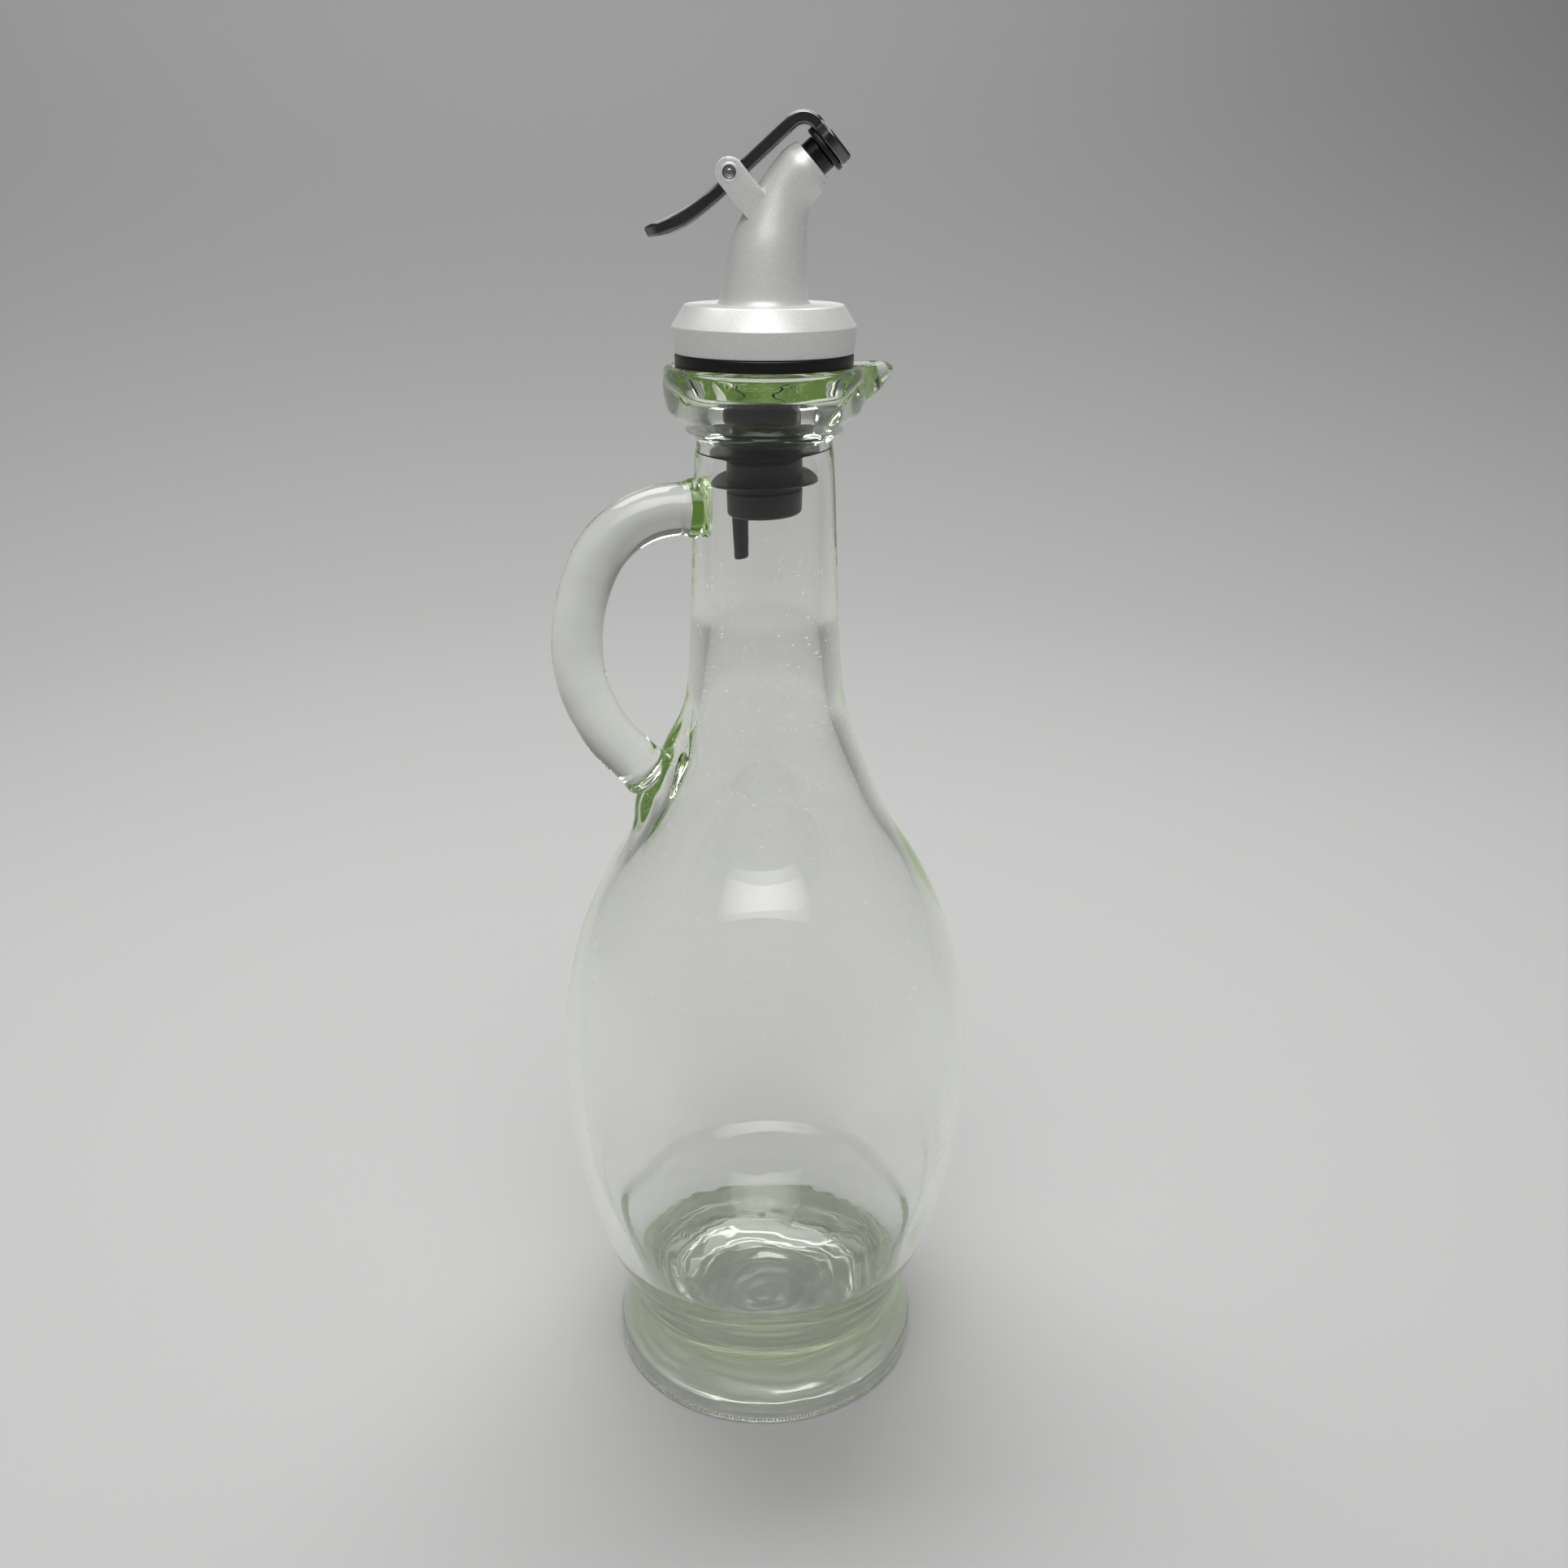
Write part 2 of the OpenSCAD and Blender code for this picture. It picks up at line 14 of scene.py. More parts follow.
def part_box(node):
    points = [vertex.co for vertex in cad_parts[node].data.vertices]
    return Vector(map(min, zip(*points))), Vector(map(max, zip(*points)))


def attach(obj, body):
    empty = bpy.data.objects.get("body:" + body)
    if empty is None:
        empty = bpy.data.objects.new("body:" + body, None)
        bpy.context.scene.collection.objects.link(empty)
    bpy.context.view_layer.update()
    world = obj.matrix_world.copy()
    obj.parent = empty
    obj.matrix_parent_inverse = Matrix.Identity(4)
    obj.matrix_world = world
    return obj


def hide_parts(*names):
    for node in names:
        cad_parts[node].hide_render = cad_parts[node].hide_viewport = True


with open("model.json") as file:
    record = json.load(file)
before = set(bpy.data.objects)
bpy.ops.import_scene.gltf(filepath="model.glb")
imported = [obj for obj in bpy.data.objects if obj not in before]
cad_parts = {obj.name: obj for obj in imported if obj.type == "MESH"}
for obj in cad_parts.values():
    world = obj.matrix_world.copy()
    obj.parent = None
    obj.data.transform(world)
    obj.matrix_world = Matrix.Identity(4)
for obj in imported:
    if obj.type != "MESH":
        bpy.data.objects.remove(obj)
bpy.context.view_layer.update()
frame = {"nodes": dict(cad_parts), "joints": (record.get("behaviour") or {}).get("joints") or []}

MM = 0.001
log = logging.getLogger("cruet")

Point = tuple[float, float]
Point3 = tuple[float, float, float]

ALONG_X = Matrix.Rotation(math.pi / 2, 4, "Y")
ALONG_Y = Matrix.Rotation(math.pi / 2, 4, "X")


# ---- curves and shells, all in millimetres ---------------------------------


def mix(a: float, b: float, share: float) -> float:
    """Value at a share of the way from a to b."""
    return a + (b - a) * share


def smooth(value: np.ndarray | float, low: float, high: float) -> np.ndarray:
    """Smooth step from 0 at low to 1 at high."""
    t = np.clip((np.asarray(value, float) - low) / (high - low), 0, 1)
    return t * t * (3 - 2 * t)


def arc(centre: Point, radius: float, start: float, end: float, steps: int) -> list[Point]:
    """Points of a circular arc, with its angles in degrees."""
    turns = np.radians(np.linspace(start, end, steps + 1))
    return [(centre[0] + radius * math.cos(t), centre[1] + radius * math.sin(t)) for t in turns]


def spline(points: list[Point], steps: int) -> list[Point]:
    """Smooth line through points.

    Args:
        points: what the line passes through.
        steps: how many steps it takes between neighbours.

    Returns:
        The line's points, ends included.
    """
    p = np.array([points[0], *points, points[-1]], float)
    line: list[Point] = []
    for i in range(1, len(p) - 2):
        a, b, c, d = p[i - 1 : i + 3]
        for t in np.arange(steps) / steps:
            at = 2 * b + (c - a) * t + (2 * a - 5 * b + 4 * c - d) * t**2 + (3 * b - a - 3 * c + d) * t**3
            line.append(tuple(at / 2))
    return [*line, tuple(p[-1])]


def distances(points: np.ndarray) -> np.ndarray:
    """How far along a line each of its points is."""
    return np.concatenate([[0], np.cumsum(np.linalg.norm(np.diff(points, axis=0), axis=1))])


def evenly(line: list[Point], spacing: float) -> np.ndarray:
    """The line's points again, about spacing apart, with its ends kept."""
    p = np.array(line, float)
    run = distances(p)
    at = np.linspace(0, run[-1], max(2, round(run[-1] / spacing) + 1))
    return np.stack([np.interp(at, run, p[:, k]) for k in range(p.shape[1])], axis=1)


def rounded_box(width: float, height: float, corner: float, steps: int) -> np.ndarray:
    """Outline of a rectangle with round corners, counter-clockwise."""
    x, y = width / 2 - corner, height / 2 - corner
    corners = [((x, y), 0), ((-x, y), 90), ((-x, -y), 180), ((x, -y), 270)]
    return np.array([p for c, start in corners for p in arc(c, corner, start, start + 90, steps)])


def sunk_sides(outline: np.ndarray, depth: float, width: float, height: float) -> np.ndarray:
    """A rounded rectangle with its left and right sides sunk between two narrow lips."""
    quarter = len(outline) // 4
    x, y = width / 2, height / 2
    sink = [(x - depth, y * k) for k in (-0.52, 0.52)]
    right = [(x, -y * 0.62), *sink, (x, y * 0.62)]
    left = [(-a, -b) for a, b in right]
    return np.concatenate([outline[: 2 * quarter], left, outline[2 * quarter:], right])


@dataclass
class Shell:
    """A closed surface: its points in millimetres and its faces."""

    points: np.ndarray
    faces: list[tuple[int, ...]]

    def moved(self, place: Matrix) -> "Shell":
        """The shell in another place."""
        m = np.array(place)
        return Shell(self.points @ m[:3, :3].T + m[:3, 3], self.faces)


def rings(rows: np.ndarray, loop: bool = False) -> Shell:
    """Surface through rings of points.

    Args:
        rows: rings, points and coordinates, each ring counter-clockwise as seen from the last ring.
        loop: joins the last ring to the first; without it both ends are closed with a fan.

    Returns:
        The closed shell.
    """
    count, around = rows.shape[:2]
    points = rows.reshape(-1, 3)
    faces: list[tuple[int, ...]] = []
    for i in range(count if loop else count - 1):
        a, b = i * around, (i + 1) % count * around
        faces += [(a + k, a + (k + 1) % around, b + (k + 1) % around, b + k) for k in range(around)]
    if not loop:
        first, last = len(points), (count - 1) * around
        points = np.concatenate([points, [rows[0].mean(0), rows[-1].mean(0)]])
        faces += [(first, (k + 1) % around, k) for k in range(around)]
        faces += [(first + 1, last + k, last + (k + 1) % around) for k in range(around)]
    return Shell(points, faces)


def turned_rows(profile: list[Point] | np.ndarray, around: int) -> np.ndarray:
    """Rings of points about Z, one for each pair of radius and height."""
    p = np.array(profile, float)
    t = np.linspace(0, 2 * math.pi, around, endpoint=False)
    return np.stack([np.outer(p[:, 0], np.cos(t)), np.outer(p[:, 0], np.sin(t)),
                     np.repeat(p[:, 1:2], around, axis=1)], axis=2)


def turned(profile: list[Point] | np.ndarray, around: int, loop: bool = False) -> Shell:
    """Shell turned about Z from pairs of radius and height, going up on the outside."""
    return rings(turned_rows(profile, around), loop)


def swept(path: np.ndarray, radii: np.ndarray, around: int) -> Shell:
    """Tube along a path that goes little or not at all along Y, with one radius for each point."""
    along = np.gradient(path, axis=0)
    along /= np.linalg.norm(along, axis=1)[:, None]
    side = np.stack([along[:, 2], np.zeros(len(path)), -along[:, 0]], axis=1)
    t = np.linspace(0, 2 * math.pi, around, endpoint=False)
    ring = np.cos(t)[None, :, None] * side[:, None] + np.sin(t)[None, :, None] * np.array([0.0, 1.0, 0.0])
    return rings(path[:, None] + radii[:, None, None] * ring)


def ripple(points: np.ndarray, grain: float, seed: float) -> np.ndarray:
    """Smooth noise from -1 to 1 at each point, with lumps about grain millimetres apart."""
    return np.array([noise.noise(Vector(p) / grain + Vector((seed, 0, 0))) for p in points])


# ---- objects ----------------------------------------------------------------


def make_object(name: str, shell: Shell, finish: bpy.types.Material, sharp: float = 35) -> bpy.types.Object:
    """Makes an object of a shell, smooth but for edges sharper than an angle in degrees."""
    mesh = bpy.data.meshes.new(name)
    mesh.from_pydata((shell.points * MM).tolist(), [], shell.faces)
    mesh.validate()
    obj = bpy.data.objects.new(name, mesh)
    bpy.context.scene.collection.objects.link(obj)
    mesh.materials.append(finish)
    mesh.polygons.foreach_set("use_smooth", [True] * len(mesh.polygons))
    mesh.set_sharp_from_angle(angle=math.radians(sharp))
    return obj


def settle(obj: bpy.types.Object, sharp: float = 35) -> bpy.types.Object:
    """Turns an object's live modifiers into its plain mesh."""
    graph = bpy.context.evaluated_depsgraph_get()
    mesh = bpy.data.meshes.new_from_object(obj.evaluated_get(graph))
    obj.modifiers.clear()
    mesh.name = obj.name
    obj.data = mesh
    mesh.polygons.foreach_set("use_smooth", [True] * len(mesh.polygons))
    mesh.set_sharp_from_angle(angle=math.radians(sharp))
    return obj


def joined(obj: bpy.types.Object, others: list[bpy.types.Object], how: str = "UNION") -> bpy.types.Object:
    """Fuses other objects with the first, or cuts them out of it, and removes them."""
    for other in others:
        step = obj.modifiers.new(how.lower(), "BOOLEAN")
        step.operation = how
        step.solver = "MANIFOLD"
        step.object = other
    settle(obj)
    for other in others:
        bpy.data.objects.remove(other)
    return obj


def fit_piece(obj: bpy.types.Object, body: str, slot: str | None, *nodes: str) -> None:
    """Puts a piece on its body, in place of CAD nodes, and reports it."""
    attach(obj, body)
    if nodes:
        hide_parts(*nodes)
    log.info("%s rides on %s with %d faces", obj.name, body, len(obj.data.polygons))


# ---- finishes ---------------------------------------------------------------


def linear(colour: str) -> tuple[float, float, float, float]:
    """Linear colour of an sRGB hex value such as #C8C6C1."""
    parts = [int(colour[i : i + 2], 16) / 255 for i in (1, 3, 5)]
    return (*[p / 12.92 if p <= 0.04045 else ((p + 0.055) / 1.055) ** 2.4 for p in parts], 1.0)


def add_node(tree: bpy.types.NodeTree, kind: str, inputs: dict | None = None, **settings: object) -> bpy.types.Node:
    """Adds one node.

    Args:
        tree: where the node goes.
        kind: the node's type.
        inputs: for each input's name or number, a value or the output that feeds it.
        settings: the node's own properties.

    Returns:
        The new node.
    """
    node = tree.nodes.new(kind)
    for name, value in settings.items():
        setattr(node, name, value)
    for key, value in (inputs or {}).items():
        if isinstance(value, bpy.types.NodeSocket):
            tree.links.new(value, node.inputs[key])
        else:
            node.inputs[key].default_value = value
    return node


def blank_material(name: str) -> tuple[bpy.types.Material, bpy.types.NodeTree, bpy.types.NodeSocket]:
    """A new material with an empty tree, and its object coordinates."""
    material = bpy.data.materials.new(name)
    material.use_nodes = True
    tree = material.node_tree
    tree.nodes.clear()
    place = add_node(tree, "ShaderNodeTexCoord")
    return material, tree, place.outputs["Object"]


def lumps(tree: bpy.types.NodeTree, place: bpy.types.NodeSocket, apart_mm: float,
          detail: float) -> bpy.types.NodeSocket:
    """Noise whose lumps are so many millimetres apart."""
    node = add_node(tree, "ShaderNodeTexNoise", {"Vector": place, "Scale": 1 / (apart_mm * MM), "Detail": detail})
    return node.outputs["Fac"]


def skin(tree: bpy.types.NodeTree, height: bpy.types.NodeSocket, strength: float,
         depth_mm: float) -> bpy.types.NodeSocket:
    """Normal of a surface that rises and falls with a height."""
    node = add_node(tree, "ShaderNodeBump", {"Height": height, "Strength": strength, "Distance": depth_mm * MM})
    return node.outputs["Normal"]


@dataclass(frozen=True)
class SodaLimeGlass:
    """Moulded soda-lime glass: clear, green where light goes far through it, its underside frosted by the press and
    partly whitened with painted light that stands in for the light the thick base gathers.
    """

    absorb_colour: tuple[float, float, float, float] = (0.50, 0.79, 0.0, 1.0)
    absorb_density: float = 6.5
    ior: float = 1.52
    wave_mm: float = 7.0
    wave_depth_mm: float = 0.008
    frost_roughness: float = 0.14
    frost_and_painted_light_share: float = 0.62
    frost_r_mm: tuple[float, float] = (33.2, 31.8)
    frost_z_mm: tuple[float, float] = (4.6, 4.0)

    def build(self) -> bpy.types.Material:
        """Makes the material."""
        material, tree, place = blank_material("soda_lime_glass")
        wavy = skin(tree, lumps(tree, place, self.wave_mm, 1.0), 0.6, self.wave_depth_mm)
        flat = add_node(tree, "ShaderNodeVectorMath", {0: place, 1: (1, 1, 0)}, operation="MULTIPLY")
        away = add_node(tree, "ShaderNodeVectorMath", {0: flat.outputs[0]}, operation="LENGTH")
        level = add_node(tree, "ShaderNodeSeparateXYZ", {0: place})
        near, under = (
            add_node(tree, "ShaderNodeMapRange", {"Value": value, "From Min": none * MM, "From Max": full * MM})
            for value, (none, full) in ((away.outputs["Value"], self.frost_r_mm),
                                        (level.outputs["Z"], self.frost_z_mm)))
        frost = add_node(tree, "ShaderNodeMath", {0: near.outputs[0], 1: under.outputs[0]}, operation="MULTIPLY")
        rough = add_node(tree, "ShaderNodeMath", {0: frost.outputs[0], 1: self.frost_roughness}, operation="MULTIPLY")
        # The underside loses this share of its transmission and turns partly white: real frost, plus painted light that
        # stands in for the light the base gathers.
        clear = add_node(tree, "ShaderNodeMapRange", {"Value": frost.outputs[0], "To Min": 1.0,
                                                      "To Max": 1 - self.frost_and_painted_light_share})
        shader = add_node(tree, "ShaderNodeBsdfPrincipled", {
            "Base Color": (1, 1, 1, 1), "Roughness": rough.outputs[0], "IOR": self.ior,
            "Transmission Weight": clear.outputs[0], "Normal": wavy})
        depth = add_node(tree, "ShaderNodeVolumeAbsorption", {"Color": self.absorb_colour,
                                                              "Density": self.absorb_density})
        add_node(tree, "ShaderNodeOutputMaterial", {"Surface": shader.outputs[0], "Volume": depth.outputs[0]})
        return material


@dataclass(frozen=True)
class SpeckledFinish:
    """An opaque finish whose colour, gloss and skin vary over two noise patterns, with an optional painted glow."""

    name: str
    colour: str
    speck_colour: str
    speck_mm: float
    speck_range: tuple[float, float]
    roughness: tuple[float, float]
    grain_mm: float
    grain_depth_mm: float
    metallic: float = 0.0
    coat: float = 0.0
    coat_roughness: float = 0.1
    glow: float = 0.0

    def build(self) -> bpy.types.Material:
        """Makes the material."""
        material, tree, place = blank_material(self.name)
        specks = lumps(tree, place, self.speck_mm, 3.0)
        colour = add_node(tree, "ShaderNodeValToRGB", {"Fac": specks})
        for stop, at, value in zip(colour.color_ramp.elements, self.speck_range, (self.colour, self.speck_colour)):
            stop.position = at
            stop.color = linear(value)
        gloss = add_node(tree, "ShaderNodeMapRange", {"Value": specks, "From Min": 0.3, "From Max": 0.7,
                                                      "To Min": self.roughness[0], "To Max": self.roughness[1]})
        grainy = skin(tree, lumps(tree, place, self.grain_mm, 2.0), 0.4, self.grain_depth_mm)
        # A glow above zero is painted light: the piece shines near white, though it is no lamp.
        shader = add_node(tree, "ShaderNodeBsdfPrincipled", {
            "Base Color": colour.outputs["Color"], "Roughness": gloss.outputs[0], "Metallic": self.metallic,
            "Coat Weight": self.coat, "Coat Roughness": self.coat_roughness, "Emission Color": (1, 1, 0.97, 1),
            "Emission Strength": self.glow, "Normal": grainy})
        add_node(tree, "ShaderNodeOutputMaterial", {"Surface": shader.outputs[0]})
        return material


class Finish(Enum):
    """The finishes of the cruet's pieces."""

    # Matt moulded rubber: near black, with a few pale dust specks
    RUBBER = SpeckledFinish("moulded_rubber", "#0F0F10", "#3C3A38", 0.5, (0.62, 0.80), (0.30, 0.45), 0.3, 0.012)
    # Glossy moulded polypropylene: black, with a soft sheen and a hardly visible grain
    POLYPROPYLENE = SpeckledFinish("black_polypropylene", "#0E0E10", "#1B1B1D", 0.8, (0.5, 0.8), (0.16, 0.26), 0.6,
                                   0.006)
    # Silver metallic paint on ABS: pale warm grey, with fine flakes under a thin clear coat
    SILVER_PAINT = SpeckledFinish("silver_paint", "#E9E8E6", "#F6F5F3", 0.25, (0.40, 0.68), (0.34, 0.46), 0.22, 0.006,
                                  metallic=0.3, coat=0.25, coat_roughness=0.2)
    # Chrome plate on ABS: dark mirror with hardly any texture, its colour darkened as painted shade that stands in for
    # the dark surroundings it mirrors
    CHROME = SpeckledFinish("chrome_painted_dark", "#727170", "#7E7D7C", 3.0, (0.35, 0.7), (0.07, 0.13), 2.5, 0.004,
                            metallic=1.0)
    # Drawn stainless steel: bright, with a slightly satin surface
    STEEL = SpeckledFinish("drawn_steel", "#B9BABC", "#D0D0D2", 0.6, (0.4, 0.7), (0.2, 0.32), 0.3, 0.004, metallic=1.0)
    # Frosted skin of the small grip beads under the foot, with a faint painted glow
    FROSTED_GLOWING = SpeckledFinish("frosted_glass_painted_glow", "#A9AC9E", "#D5D8C8", 0.5, (0.4, 0.6), (0.5, 0.7), 0.2, 0.01, glow=0.1)
    # Dried lime and dust specks on the glass: chalky, off white, with a painted glow that stands in for the light they
    # get through the glass
    LIME_WITH_PAINTED_GLOW = SpeckledFinish("dried_lime_painted_glow", "#D9D8CF", "#F2F1EA", 0.2, (0.4, 0.6), (0.7, 0.9), 0.1, 0.01, glow=0.4)


# ---- bottle -----------------------------------------------------------------


@dataclass
class GlassBottle:
    """The bottle with its fused handle, in millimetres: body, neck, rim with a drawn-out pouring lip."""

    body_r: float = field(default_factory=lambda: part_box("bottle")[1].y / MM - 0.06)
    seat_z: float = field(default_factory=lambda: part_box("gasket")[0].z / MM)
    gasket_r: float = field(default_factory=lambda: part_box("gasket")[1].y / MM)
    belly_z: float = 74
    foot_r: float = 35.6
    foot_rim_h: float = 4.6
    waist_r: float = 32.2
    waist_z: float = 17.5
    wall: float = 3
    floor_z: float = 12.6
    neck_r: float = 15.5
    throat_r: float = 13.2
    bore_r: float = 10.95
    neck_l: float = 43
    lip_h: float = 14.5
    lip_wall: float = 1.95
    beak_out: float = 6
    rod_r: float = 5.1
    around: int = 256

    def __post_init__(self) -> None:
        """Works out the levels that follow from the sizes."""
        self.rim_z = self.seat_z + 0.9
        self.seat_r = self.gasket_r + 0.35
        self.lip_r = self.seat_r + self.lip_wall
        self.throat_z = self.rim_z - self.lip_h
        self.neck_z = self.throat_z - self.neck_l
        self.glass = SodaLimeGlass().build()

    # The turned shape

    def slope(self) -> list[Point]:
        """Outside of the body from waist to neck."""
        rise = [(0.15, 0.25), (0.33, 0.56), (0.61, 0.85)]
        fall = [(0.19, 0.966), (0.354, 0.838), (0.5, 0.63), (0.625, 0.38), (0.75, 0.199), (0.875, 0.06)]
        up = [(mix(self.waist_r, self.body_r, b), mix(self.waist_z, self.belly_z, a)) for a, b in rise]
        down = [(mix(self.neck_r, self.body_r, b), mix(self.belly_z, self.neck_z, a)) for a, b in fall]
        return [(self.waist_r, self.waist_z), *up, (self.body_r, self.belly_z), *down, (self.neck_r, self.neck_z)]

    def outside(self) -> list[Point]:
        """Profile of the outside, from the bearing ring up to the rim's top."""
        r, z = self.lip_r, self.throat_z
        foot = [(self.foot_r - 0.85, self.foot_rim_h + 0.7), (self.foot_r - 1.15, self.foot_rim_h + 3.2),
                (mix(self.waist_r, self.foot_r, 0.3), mix(self.foot_rim_h, self.waist_z, 0.6))]
        lip = [(self.throat_r + 0.6, z - 7), (self.throat_r, z), (self.throat_r + 0.3, z + 1.1),
               (self.throat_r + 1.9, z + 2.2), (self.throat_r + 2.1, z + 3.2), (mix(self.throat_r, r, 0.47), z + 3.9),
               (mix(self.throat_r, r, 0.62), z + 4.6), (mix(self.throat_r, r, 0.86), z + 6), (r - 0.1, z + 8.6),
               (r, z + 11), (r - 0.1, self.rim_z - 1.9)]
        bearing = [(self.foot_r - 2, 0.0), *arc((self.foot_r - 1.4, 1.42), 1.4, -75, 0, 5),
                   *arc((self.foot_r - 0.6, self.foot_rim_h - 0.7), 0.6, 0, 65, 4)]
        rim = arc((r - 1.2, self.rim_z - 1.2), 1.15, 10, 90, 6)
        return [*bearing, *spline([*foot, *self.slope(), *lip], 8), *rim]

    def inside(self) -> list[Point]:
        """Profile of the inside, from the middle of the floor up to the gasket's seat."""
        top = self.seat_z - 0.3
        funnel_r = self.gasket_r - 1
        thick = self.wall * (1 + 0.25 * smooth([z for _, z in spline(self.slope(), 8)], self.belly_z - 30,
                                               self.belly_z + 40))
        wall = [(max(r - t, self.bore_r), z) for (r, z), t in zip(spline(self.slope(), 8), thick)
                if self.waist_z + 15 < z < self.neck_z - 2]
        floor = [(0, self.floor_z), (5, self.floor_z + 0.05), (0.45 * self.waist_r, self.floor_z + 0.4)]
        corner = spline([(0.66 * self.waist_r, self.floor_z + 2.4), (0.78 * self.waist_r, self.waist_z + 1.8),
                         (0.93 * self.waist_r, self.waist_z + 8), (self.waist_r + 1.2, self.waist_z + 14)], 6)
        bore = [(self.bore_r, self.neck_z + 8), (self.bore_r, top - 0.9 * (funnel_r - self.bore_r) - 0.5)]
        funnel = spline([(self.bore_r + 0.15, bore[1][1] + 0.5), (mix(self.bore_r, funnel_r, 0.5), top - 2.3),
                         (funnel_r, top - 0.25)], 5)
        seat = [(funnel_r + 0.4, top), (self.seat_r - 0.4, top), (self.seat_r, top + 0.35),
                (self.seat_r + 0.02, self.rim_z - 0.7)]
        edge = arc((self.seat_r + 0.45, self.rim_z - 0.47), 0.42, 170, 95, 4)
        return [*floor, *corner, *wall, *bore, *funnel, *seat, *edge]

    def profile(self) -> np.ndarray:
        """The whole closed profile, from the hollow under the foot over the rim to the floor."""
        bearing = self.foot_r - 2
        punt = spline([(0.2, 3.6), (0.3 * bearing, 3.5), (0.6 * bearing, 3.0), (bearing - 3.4, 1.5),
                       (bearing - 2.2, 0.06)], 8)
        outer = evenly([*punt, *self.outside()], 0.9)
        inner = evenly(self.inside(), 0.9)[::-1]
        self.inner_from = len(outer)
        return np.concatenate([outer, inner[:-1], [[0.2, self.floor_z]]])

    # What hands and moulds did to it

    def draw_out_beak(self, rows: np.ndarray) -> None:
        """Pulls the rim out into the pouring lip, on +X."""
        x, y, z = (rows[..., k] for k in range(3))
        inner = (np.arange(len(rows)) >= self.inner_from)[:, None]
        ahead = x > 0
        reach = np.interp(z, [self.throat_z + 4.8, self.throat_z + 7.4, self.rim_z - 5.4, self.rim_z - 3.8,
                              self.rim_z - 2, self.rim_z - 0.9, self.rim_z],
                          [0, 0.06, 0.52, 0.80, 1.0, 0.97, 0.74])
        pull = self.beak_out * reach * np.exp(-np.abs(y / 3.7) ** 2.3)
        channel = smooth(z, self.seat_z - 0.5, self.seat_z + 0.3) * 4.6 * np.exp(-np.abs(y / 2.3) ** 2.2)
        at_wall = smooth(np.hypot(x, y), self.seat_r - 1.2, self.seat_r - 0.2)
        shift = np.where(inner, channel * at_wall, pull) * ahead
        rows[..., 0] += shift
        nose = np.exp(-(y / 4.2) ** 2) * smooth(x, self.lip_r - 2, self.lip_r + self.beak_out)
        rows[..., 2] += np.where(ahead & (z > self.rim_z - 4), 0.5 * nose, 0)

    def press_pad(self, rows: np.ndarray) -> None:
        """Raises the pad on the shoulder where the handle's lower end was pressed on, on -X."""
        x, y, z = (rows[..., k] for k in range(3))
        outer = (np.arange(len(rows)) < self.inner_from)[:, None]
        height = np.interp(z, [126, 131, 137, 142, 147, 151, 155, 160], [0, 0.7, 2.2, 3.2, 3.4, 2.6, 1.1, 0])
        width = np.interp(z, [126, 140, 150, 160], [3.0, 5.2, 5.6, 3.6])
        lean = 0.6 * np.sin((z - 126) / 5.0)
        swell = ripple(rows.reshape(-1, 3)[:, [1, 2, 0]] * [1.6, 0.8, 0], 4.5, 3.0).reshape(x.shape)
        bump = height * np.exp(-np.abs((y - lean) / width) ** 2.6) * (1 + 0.35 * swell)
        grow = np.where(outer & (x < 0), bump, 0) / np.maximum(np.hypot(x, y), 1)
        rows[..., 0] *= 1 + grow
        rows[..., 1] *= 1 + grow

    def loosen(self, rows: np.ndarray) -> None:
        """Gives the walls and the floor the waves of blown and pressed glass."""
        inner = np.arange(len(rows)) >= self.inner_from
        r, z = np.hypot(rows[..., 0], rows[..., 1]), rows[..., 2]
        swell = ripple(rows.reshape(-1, 3) * [1, 1, 0.7], 17, 7.0).reshape(r.shape)
        depth = 0.32 * smooth(z, 24, 36) * (1 - smooth(z, 176, 188))
        stretch = 1 + np.where(inner[:, None], depth, 0) * swell / np.maximum(r, 1)
        rows[..., :2] *= stretch[..., None]
        fine = ripple(rows.reshape(-1, 3), 5.5, 11.0).reshape(r.shape)
        cup = (z > self.throat_z + 5) & (z < self.seat_z - 1.5)
        wavy = 1 + np.where(cup & ~inner[:, None], 0.22, 0) * fine / np.maximum(r, 1)
        rows[..., :2] *= wavy[..., None]
        low = z < 19
        circles = np.cos(2 * math.pi * r / 4.6 + 2.6 * swell + 1.5 * fine)
        under = (r < self.foot_r - 4.6) & ~inner[:, None] & low
        rows[..., 2] += np.where(inner[:, None] & low, 0.12 * circles + 0.2 * fine, 0)
        rows[..., 2] += np.where(under, 0.12 * circles + 0.12 * fine, 0) * smooth(r, 0.1, 3)

    # The handle

    def handle_line(self) -> np.ndarray:
        """Middle line of the handle's rod, from the neck to the shoulder."""
        z = self.rim_z - 27
        bends = [(19.0, 65.0), (40.0, 25.0), (31.0, 43.0)]
        line, at, heading = [(-self.bore_r - 1.6, z), (-17.0, z)], np.array([-17.0, z]), 180.0
        for radius, turn in bends:
            left = np.array([-math.sin(math.radians(heading)), math.cos(math.radians(heading))])
            centre = at + radius * left
            bend = arc(tuple(centre), radius, heading - 90, heading - 90 + turn, 14)
            line += bend[1:]
            at, heading = np.array(bend[-1]), heading + turn
        tail = np.array([math.cos(math.radians(heading)), math.sin(math.radians(heading))])
        line.append(tuple(at + 9.4 * tail))
        even = evenly(line, 0.8)
        return np.stack([even[:, 0], np.zeros(len(even)), even[:, 1]], axis=1)

